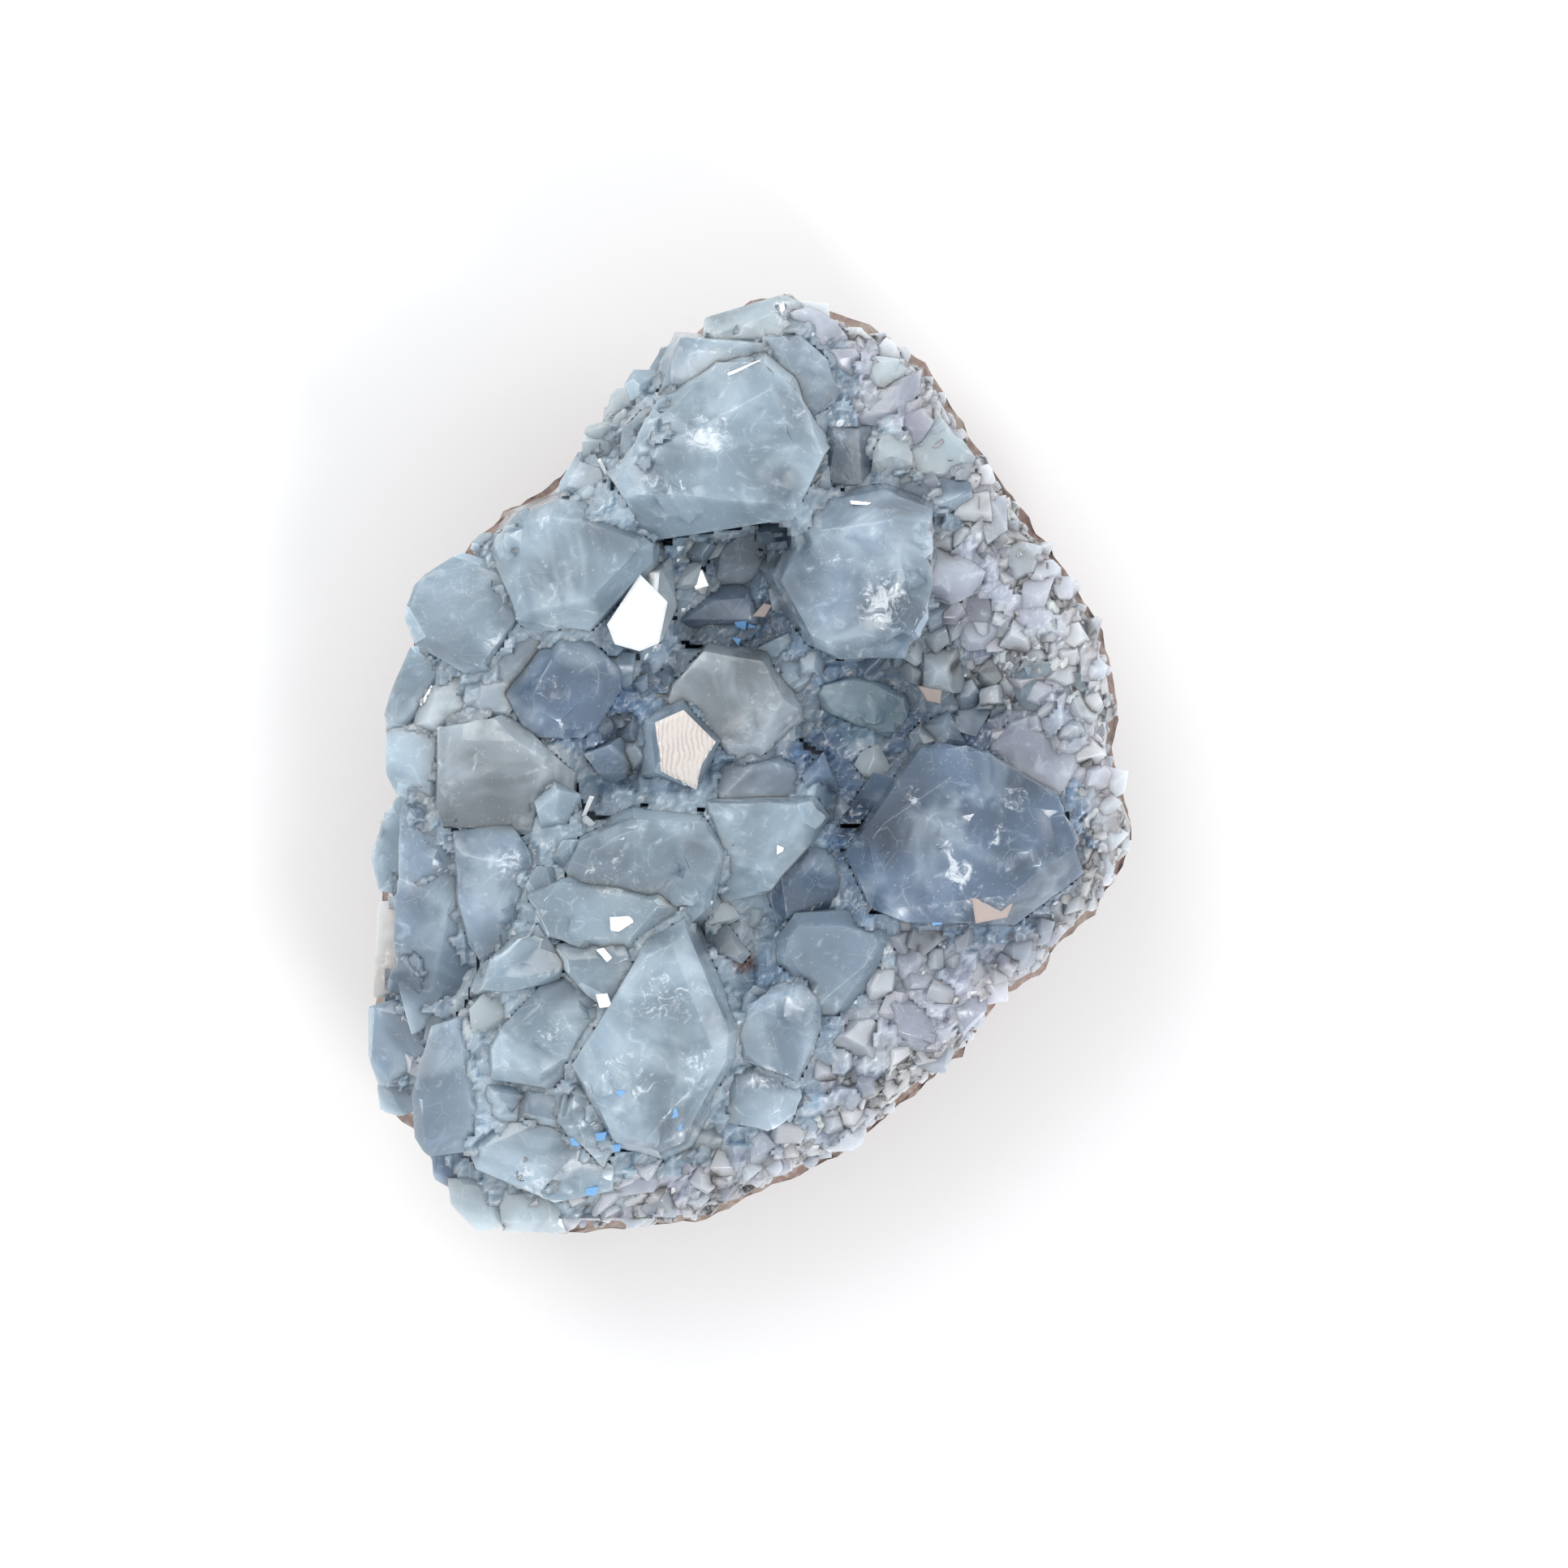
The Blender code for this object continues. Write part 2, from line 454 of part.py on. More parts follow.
         (-23.6, 16), (-25, 13.8), (-27.8, 10.3), (-30, 9.8), (-32, 10.8), (-34.6, 12.4)),
         tilt=(150, 8), bevel=(1.0, 42), flare=1, lean=(155, 18), root=15, cuts=((-40, 18, 4.2),)),
    dict(top=39.5, outline=((-26.2, 22), (-24, 25.1), (-22, 26.4), (-19.5, 26.9), (-16, 26.5), (-12, 24.4),
         (-9.8, 22.4), (-10, 20.8), (-14.5, 16.3), (-16.5, 14), (-20, 14.2), (-23.5, 14.8)),
         tilt=(120, 5), bevel=(0.9, 44), cuts=((-80, 46, 5.4), (176, 40, 6.0))),
    dict(top=34.0, outline=((-19.5, 29), (-17.6, 32.2), (-16, 31.8), (-13.5, 28.6), (-14.4, 26.6), (-17, 26),
         (-19.5, 27)), tilt=(120, 12), bevel=(0.7, 45), flare=1, root=19.8),
    dict(top=32.0, outline=((-16.8, 33.6), (-14.6, 36.4), (-11.5, 36.2), (-12, 32), (-14, 30.6)),
         tilt=(140, 14), bevel=(0.7, 42), flare=1, root=19.8),
    dict(top=31.0, outline=((-14.6, 36), (-11.6, 39.6), (-9.6, 38.4), (-11.6, 35)),
         tilt=(140, 16), bevel=(0.6, 42), flare=1, root=19.8),
    dict(top=36.5, outline=((-12.6, 34.3), (-10, 36.4), (-6.3, 38.8), (-6.2, 33), (-8.5, 30.5), (-12, 31.6)),
         tilt=(130, 12), bevel=(0.7, 45)),
    dict(top=31.0, outline=((-11, 39.8), (-9.2, 42.8), (-7.8, 43.2), (-6, 41.5), (-8, 38)),
         tilt=(140, 12), bevel=(0.7, 42), flare=1, root=19.8),
    dict(top=35.5, outline=((-24.6, 7), (-23.7, 9), (-22.4, 10.8), (-20, 14.2), (-18.3, 14.5), (-14.4, 11.2),
         (-13.2, 9.8), (-13, 7.6), (-15.4, 3.9), (-17, 2.7), (-19.6, 2.5), (-22.2, 2.8)),
         tilt=(-20, 10), bevel=(1.2, 40), lean=(-30, 10), cuts=((-55, 38, 3.0), (60, 32, 3.6))),
    dict(top=33.5, outline=((-28.6, 9), (-27, 12.2), (-25.5, 14.4), (-22.5, 15), (-19.8, 14.3), (-22.5, 10.2),
         (-25, 4.5), (-28.8, 5.6)), tilt=(170, 8), bevel=(0.7, 42)),
    dict(top=29.5, outline=((-35, 12.2), (-36.2, 8.6), (-38, 5.4), (-37.8, 3.4), (-36, 3.4), (-33.8, 6),
         (-31.8, 8.3), (-31.8, 10.4), (-33.5, 12.4)), tilt=(175, 14), bevel=(0.6, 42), flare=0, lean=(175, 22),
         root=15),
    dict(top=31.5, outline=((-34.2, 6), (-32.2, 8.5), (-30.3, 10.3), (-28.2, 9.2), (-28.2, 5), (-30.5, 4),
         (-32, 3.3), (-34.6, 4)), tilt=(150, 12), bevel=(0.6, 42), flare=3),
    dict(top=30.0, outline=((-37.9, 3.6), (-34, 4.2), (-31.3, 3.8), (-31, 0), (-31.5, -3.8), (-35, -4),
         (-36.6, -3), (-37.7, -1)), tilt=(180, 12), bevel=(0.8, 40), flare=0, lean=(180, 22), root=15),
    dict(top=35.5, outline=((-31.8, 3.6), (-30, 4.5), (-25.5, 5), (-23.3, 4), (-21, 2), (-19.4, 0.5), (-18.2, -1),
         (-18.1, -4.6), (-18.8, -6.6), (-24, -7.2), (-28, -6.5), (-31.2, -6.2), (-32, -4)),
         tilt=(160, 5), bevel=(0.8, 42), cuts=((-10, 34, 4.6), (100, 22, 3.6))),
    dict(top=27.0, outline=((-36.6, -3), (-38.4, -6.5), (-39.3, -9.5), (-38.6, -13.2), (-33, -13.6),
         (-32.5, -4)), tilt=(180, 18), bevel=(0.8, 40), flare=-2, lean=(180, 22), root=15),
    dict(top=31.5, outline=((-36, -3.8), (-31.3, -4.4), (-30, -7), (-29.6, -11), (-29, -15), (-28.6, -19),
         (-28, -23.2), (-30, -25.2), (-35, -27.7), (-36.2, -23), (-36.8, -18)),
         tilt=(180, 9), bevel=(1.0, 38), flare=2, lean=(180, 12), root=15, cuts=((-20, 22, 2.4), (-90, 14, 6.5))),
    dict(top=26.0, outline=((-38.9, -14), (-32.5, -14), (-32.5, -24), (-39.4, -24.2)),
         tilt=(180, 14), bevel=(0.9, 40), flare=-3, lean=(180, 20), root=15),
    dict(top=27.5, outline=((-39.6, -25), (-37, -24.2), (-32.4, -26), (-32, -31), (-36.4, -33), (-38.6, -33.2),
         (-39.6, -30)), tilt=(190, 16), bevel=(0.8, 40), flare=-3, lean=(190, 20), root=15),
    dict(top=26.5, outline=((-38.8, -32.8), (-33, -31.5), (-32.2, -35), (-36.2, -36.4), (-38.4, -35.8)),
         tilt=(200, 18), bevel=(0.6, 40), flare=-3, lean=(200, 20), root=15),
    dict(top=36.0, outline=((-33, -27), (-29.5, -25.8), (-27.6, -27.4), (-25.8, -29.5), (-25.8, -32), (-27, -36.2),
         (-29.3, -38.5), (-29.8, -39.8), (-33, -40.2), (-34.8, -38.4), (-35, -34)),
         tilt=(200, 9), bevel=(1.0, 40), flare=2, lean=(200, 16), root=15, cuts=((0, 20, 3.0),)),
    dict(top=41.5, outline=((-27, -22.8), (-26, -19.8), (-21.5, -16.3), (-18.6, -19.5), (-19.5, -22), (-24.5, -23)),
         tilt=(100, 7), bevel=(0.5, 50), flare=7),
    dict(top=38.0, outline=((-28.6, -25), (-26, -22), (-23, -23), (-25, -27.2), (-28.4, -27.4)),
         tilt=(170, 16), bevel=(0.5, 45)),
    dict(top=42.0, outline=((-18.7, -19.8), (-15.8, -23), (-14.2, -25), (-16, -28.2), (-18.5, -31.7), (-20.5, -32.8),
         (-26, -31.8), (-26.2, -29), (-25, -26.8), (-20.5, -22.2)), tilt=(-150, 6), bevel=(0.8, 46), flare=6,
         cuts=((60, 22, 3.0), (-95, 30, 4.6))),
    dict(top=37.5, outline=((-30.2, -7), (-24.5, -6.2), (-22.6, -9), (-21.6, -14), (-20.8, -16.6), (-24.5, -19.3),
         (-27, -20.4), (-28.7, -18), (-29.7, -14)), tilt=(190, 7), bevel=(0.8, 44), cuts=((90, 26, 4.0), (-20, 30, 2.6))),
    dict(top=41.5, outline=((-17.2, -7.9), (-15, -6.6), (-12, -5.6), (-8, -5.4), (-5, -5.8), (-3.8, -7), (-3, -9),
         (-3.5, -12), (-4.2, -14.4), (-6, -16), (-14, -15), (-18.5, -11)), tilt=(80, 4), bevel=(0.8, 46), flare=6,
         cuts=((82, 26, 3.4),)),
    dict(top=42.5, outline=((-22.2, -13.4), (-18, -11.5), (-10, -12.5), (-7, -15), (-9, -18), (-14, -20),
         (-20.6, -17.4)), tilt=(130, 5), bevel=(0.7, 46), flare=6, cuts=((-95, 30, 2.6),)),
    dict(top=42.5, outline=((-20, -18.4), (-13, -18), (-11, -21.6), (-13.6, -25.4), (-16.6, -23.4), (-19.2, -20.4)),
         tilt=(200, 8), bevel=(0.6, 46), flare=6),
    dict(top=44.5, outline=((-10.4, -18), (-8, -16.2), (-6.8, -16.1), (-5.4, -19), (-4, -22.5), (-2.2, -27.2),
         (-2.6, -30), (-4.5, -33.7), (-7, -38.2), (-9.2, -39.2), (-13.5, -38.2), (-17.8, -30.6), (-14, -23.6)),
         tilt=(-150, 5), bevel=(0.7, 46), flare=6, cuts=((-62, 24, 7.2), (20, 30, 5.6), (-125, 22, 8.4))),
    dict(top=37.0, outline=((-27, -32.8), (-22.5, -33), (-22.6, -36.6), (-26.6, -36.4)),
         tilt=(-110, 14), bevel=(0.5, 45)),
    dict(top=37.5, outline=((-23.2, -33.6), (-19.2, -33), (-19.6, -37.2), (-23.7, -36.6)),
         tilt=(-80, 12), bevel=(0.5, 45)),
    dict(top=38.5, outline=((-18.6, -32), (-14.2, -34.6), (-13.2, -37.6), (-15, -41), (-19.6, -36.6)),
         tilt=(-60, 14), bevel=(0.6, 45)),
    dict(top=36.0, outline=((-28.9, -39), (-28, -36.8), (-25, -36), (-20, -37), (-16.3, -39.8), (-14, -41.2),
         (-14.2, -43.6), (-17, -44.6), (-20, -44.8), (-24.5, -43.4), (-28, -41.4)),
         tilt=(-110, 8), bevel=(0.8, 44), flare=3, cuts=((-60, 24, 2.6), (130, 20, 3.4))),
    dict(top=27.5, outline=((-33, -40), (-29.3, -38), (-27, -41), (-28.8, -43.2), (-31.3, -44), (-32.8, -43)),
         tilt=(-140, 18), bevel=(0.7, 42), flare=-1, lean=(-140, 16), root=15),
    dict(top=28.5, outline=((-31.3, -43), (-26, -42.6), (-25.4, -47.8), (-28, -48.3), (-31, -45.4)),
         tilt=(-120, 14), bevel=(0.8, 40), flare=-1, lean=(-110, 12), root=15),
    dict(top=28.5, outline=((-26, -43.6), (-20, -44.6), (-19, -48.4), (-25.6, -48.2)),
         tilt=(-95, 12), bevel=(0.8, 40), flare=0),
    dict(top=30.0, outline=((-14.3, -40.5), (-10, -38.8), (-8.3, -41.6), (-10, -44), (-13.7, -44.5)),
         tilt=(-80, 14), bevel=(0.9, 42)),
    dict(top=30.5, outline=((-9, -37), (-6, -36), (-1.2, -37.8), (-2.2, -40.2), (-7.6, -40.4)),
         tilt=(-80, 16), bevel=(0.7, 42)),
    dict(top=27.5, outline=((-6, -43), (-3.6, -42), (-3.2, -44.6), (-5.6, -45)),
         tilt=(-60, 20), bevel=(0.3, 45), flare=1),
)


def small_crystals():
    """Stubby crystals that fill the rim band and the floor of the hollow."""
    rng = random.Random(SMALL_SEED)
    places = []
    for row, (count, inward) in enumerate(RIM_ROWS):
        for step in range(count):
            turn = (step + 0.5 * (row % 2) + rng.uniform(-0.3, 0.3)) / count
            angle = math.radians(RIM_FROM + (RIM_TO - RIM_FROM) * turn)
            reach = outline_radius(WALL_OUTLINE, angle)
            size = rng.uniform(1.3, 2.1) + 0.25 * row
            distance = reach - inward - rng.uniform(0.0, 1.2)
            size = min(size, 0.7 * (reach - distance - 0.8))
            x = distance * math.cos(angle)
            y = distance * math.sin(angle)
            places.append((x, y, size, rng.uniform(2.2, 4.0) + 0.4 * row, math.degrees(angle)))
    for step in range(FLOOR_CRYSTALS):
        angle = rng.uniform(0, 2 * math.pi)
        distance = rng.uniform(2.0, 15.0)
        x = distance * math.cos(angle) + 4.0
        y = distance * math.sin(angle) + 3.0
        places.append((x, y, rng.uniform(1.4, 2.6), rng.uniform(5.0, 8.0), math.degrees(angle) + 180))
    solids = []
    for x, y, size, rise, facing in places:
        turn = rng.uniform(0, math.pi)
        sides = rng.choice((4, 5, 6))
        outline = []
        for corner in range(sides):
            a = turn + 2 * math.pi * corner / sides
            r = size * rng.uniform(0.8, 1.15)
            outline.append((x + r * math.cos(a), y + r * math.sin(a)))
        solids.append(dict(
            top=wall_height_at(x, y) + rise,
            root=wall_height_at(x, y) - 0.6,
            outline=tuple(outline),
            tilt=(facing + rng.uniform(-60, 60), rng.uniform(10, 34)),
            bevel=(size * rng.uniform(0.2, 0.35), rng.uniform(42, 56)),
            flare=rng.uniform(1, 5),
        ))
    return solids


def crust_mesh():
    """Layer between the wall and the crystals, which all grow from it."""
    bm = bmesh.new()
    shares = (0.16, 0.34, 0.52, 0.68, 0.8, 0.9, 0.965)
    layers = []
    for height, lift in ((CRUST_DEPTH, 1.0), (-2.0, 0.0)):
        loops = []
        for share in shares:
            loop = []
            for step in range(WALL_ANGLES):
                angle = 2 * math.pi * step / WALL_ANGLES
                radius = outline_radius(WALL_OUTLINE, angle) * share
                x = radius * math.cos(angle)
                y = radius * math.sin(angle)
                level = wall_top(share, angle) + height
                if lift:
                    level += 1.1 * noise.noise(Vector((x, y, 0)) * 0.31)
                    level -= 1.2 * smooth(0.6, 0.88, share) + 1.2 * smooth(0.88, 0.965, share)
                loop.append(bm.verts.new((x, y, level)))
            loops.append(loop)
        centre = bm.verts.new((0, 0, HOLLOW_HEIGHT + height))
        layers.append((loops, centre))
    for loops, centre in layers:
        for step in range(WALL_ANGLES):
            after = (step + 1) % WALL_ANGLES
            bm.faces.new((loops[0][step], loops[0][after], centre))
            for inner, outer in zip(loops, loops[1:]):
                bm.faces.new((inner[step], inner[after], outer[after], outer[step]))
    above = layers[0][0][-1]
    below = layers[1][0][-1]
    for step in range(WALL_ANGLES):
        after = (step + 1) % WALL_ANGLES
        bm.faces.new((above[step], above[after], below[after], below[step]))
    return bm


def boolean(body, operation, other):
    """Join or cut with the exact solver."""
    change = body.modifiers.new(operation.title(), "BOOLEAN")
    change.operation = operation
    change.solver = "EXACT"
    change.object = other
    change.use_self = True


for leftover in list(bpy.context.scene.objects):
    bpy.data.objects.remove(leftover, do_unlink=True)

matrix = finish("matrix", wall_mesh(), (0.62, 0.56, 0.53), 0.85)

grown = bmesh.new()
for spec in CRYSTALS:
    add_hull(grown, convex_body(crystal_planes(**spec)))
for spec in small_crystals():
    add_hull(grown, convex_body(crystal_planes(**spec)))
separate_crystals = finish("separate_crystals", grown, (0.42, 0.52, 0.62), 0.2)
hide(separate_crystals)

wall_cutter = finish("wall_cutter", wall_mesh(GAP, 14.0), (0.5, 0.5, 0.5), 0.9)
hide(wall_cutter)

crystals = finish("crystals", crust_mesh(), (0.42, 0.52, 0.62), 0.2)
boolean(crystals, "UNION", separate_crystals)
boolean(crystals, "DIFFERENCE", wall_cutter)
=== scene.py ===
import math
import random

import bmesh
import bpy
import numpy as np
from bpy.props import FloatProperty, FloatVectorProperty, IntProperty, PointerProperty
from mathutils import Matrix, Vector, noise
from mathutils.bvhtree import BVHTree


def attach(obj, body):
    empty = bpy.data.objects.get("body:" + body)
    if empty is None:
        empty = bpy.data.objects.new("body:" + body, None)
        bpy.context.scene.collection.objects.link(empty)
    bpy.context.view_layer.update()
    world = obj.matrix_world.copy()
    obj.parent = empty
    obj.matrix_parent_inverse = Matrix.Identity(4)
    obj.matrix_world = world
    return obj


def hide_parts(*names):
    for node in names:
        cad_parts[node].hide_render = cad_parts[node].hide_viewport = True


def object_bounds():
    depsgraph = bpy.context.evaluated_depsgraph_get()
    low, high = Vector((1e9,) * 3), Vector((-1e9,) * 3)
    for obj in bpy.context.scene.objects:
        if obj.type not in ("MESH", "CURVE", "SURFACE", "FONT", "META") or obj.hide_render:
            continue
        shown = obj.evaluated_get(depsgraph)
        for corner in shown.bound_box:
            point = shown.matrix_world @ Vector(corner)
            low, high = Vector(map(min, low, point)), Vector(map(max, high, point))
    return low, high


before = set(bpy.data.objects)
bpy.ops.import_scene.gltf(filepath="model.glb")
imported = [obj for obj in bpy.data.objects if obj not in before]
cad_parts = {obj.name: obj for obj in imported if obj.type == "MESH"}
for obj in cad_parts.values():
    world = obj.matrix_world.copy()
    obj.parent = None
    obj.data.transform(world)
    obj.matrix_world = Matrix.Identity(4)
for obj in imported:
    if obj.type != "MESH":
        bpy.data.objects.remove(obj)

bl_info = {
    "name": "Celestite crystal cluster",
    "version": (1, 0),
    "blender": (4, 5, 0),
    "location": "View3D > Sidebar > Celestite",
    "description": "Builds a cluster of pale blue crystals on a piece of geode wall",
    "category": "Add Mesh",
}

# Box of the solids that were loaded above; the intergrown crust is laid out inside it.
CAD_LOW, CAD_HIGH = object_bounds()
MM = 0.001

# Shape of the geode wall, in millimetres
FLAT_SPOT = (11.0, 14.0)
FLAT_CENTRE = (-3.0, -2.3)
FLAT_SHARE = 0.3
RIM_HEIGHT = 18.5
RIM_RISE = 5.5
BAND_HEIGHT = 24.5
HOLLOW_HEIGHT = 11.0
LUMP_HEIGHT = 0.9
UNDERSIDE_LUMPS = 2.6
CRUST_DEPTH = 3.6
MOST_SIDES = 8
SHARP = math.radians(19)
# The most that the crust may climb from one point to the next, in millimetres
STEEPEST_STEP = 2.2

# Outline of the wall seen from above, clockwise from the top
WALL_OUTLINE = (
    (3.5, 49.0), (6, 47.8), (10, 46.3), (12, 46), (15, 43.5), (18, 41.6),
    (20, 38.6), (22.8, 34), (26, 29.7), (29, 25), (31.8, 21.5), (34, 18.2),
    (36.4, 14), (37.8, 9), (38.2, 6), (37.6, 2), (38.2, -1.5), (39.4, -5),
    (39.4, -9), (37.7, -12), (35.5, -15.6), (32, -18.6), (29.7, -22),
    (25.8, -24.2), (22, -29.7), (16, -35), (12, -38.5), (7.5, -41.6),
    (2, -44), (-4, -47), (-8, -48), (-14, -48.5), (-20, -48.6),
    (-26, -48), (-30, -45.6), (-32.8, -42), (-34.6, -38.6), (-38.2, -35),
    (-39, -31), (-39, -24), (-38.6, -16), (-38.4, -9.5), (-36.4, -3),
    (-37, 3), (-35.6, 9), (-34.6, 16), (-31, 21), (-26, 25.8), (-21, 29),
    (-16.6, 33.6), (-13, 37.6), (-9, 42.6), (-4, 46.1), (0, 47.8),
)

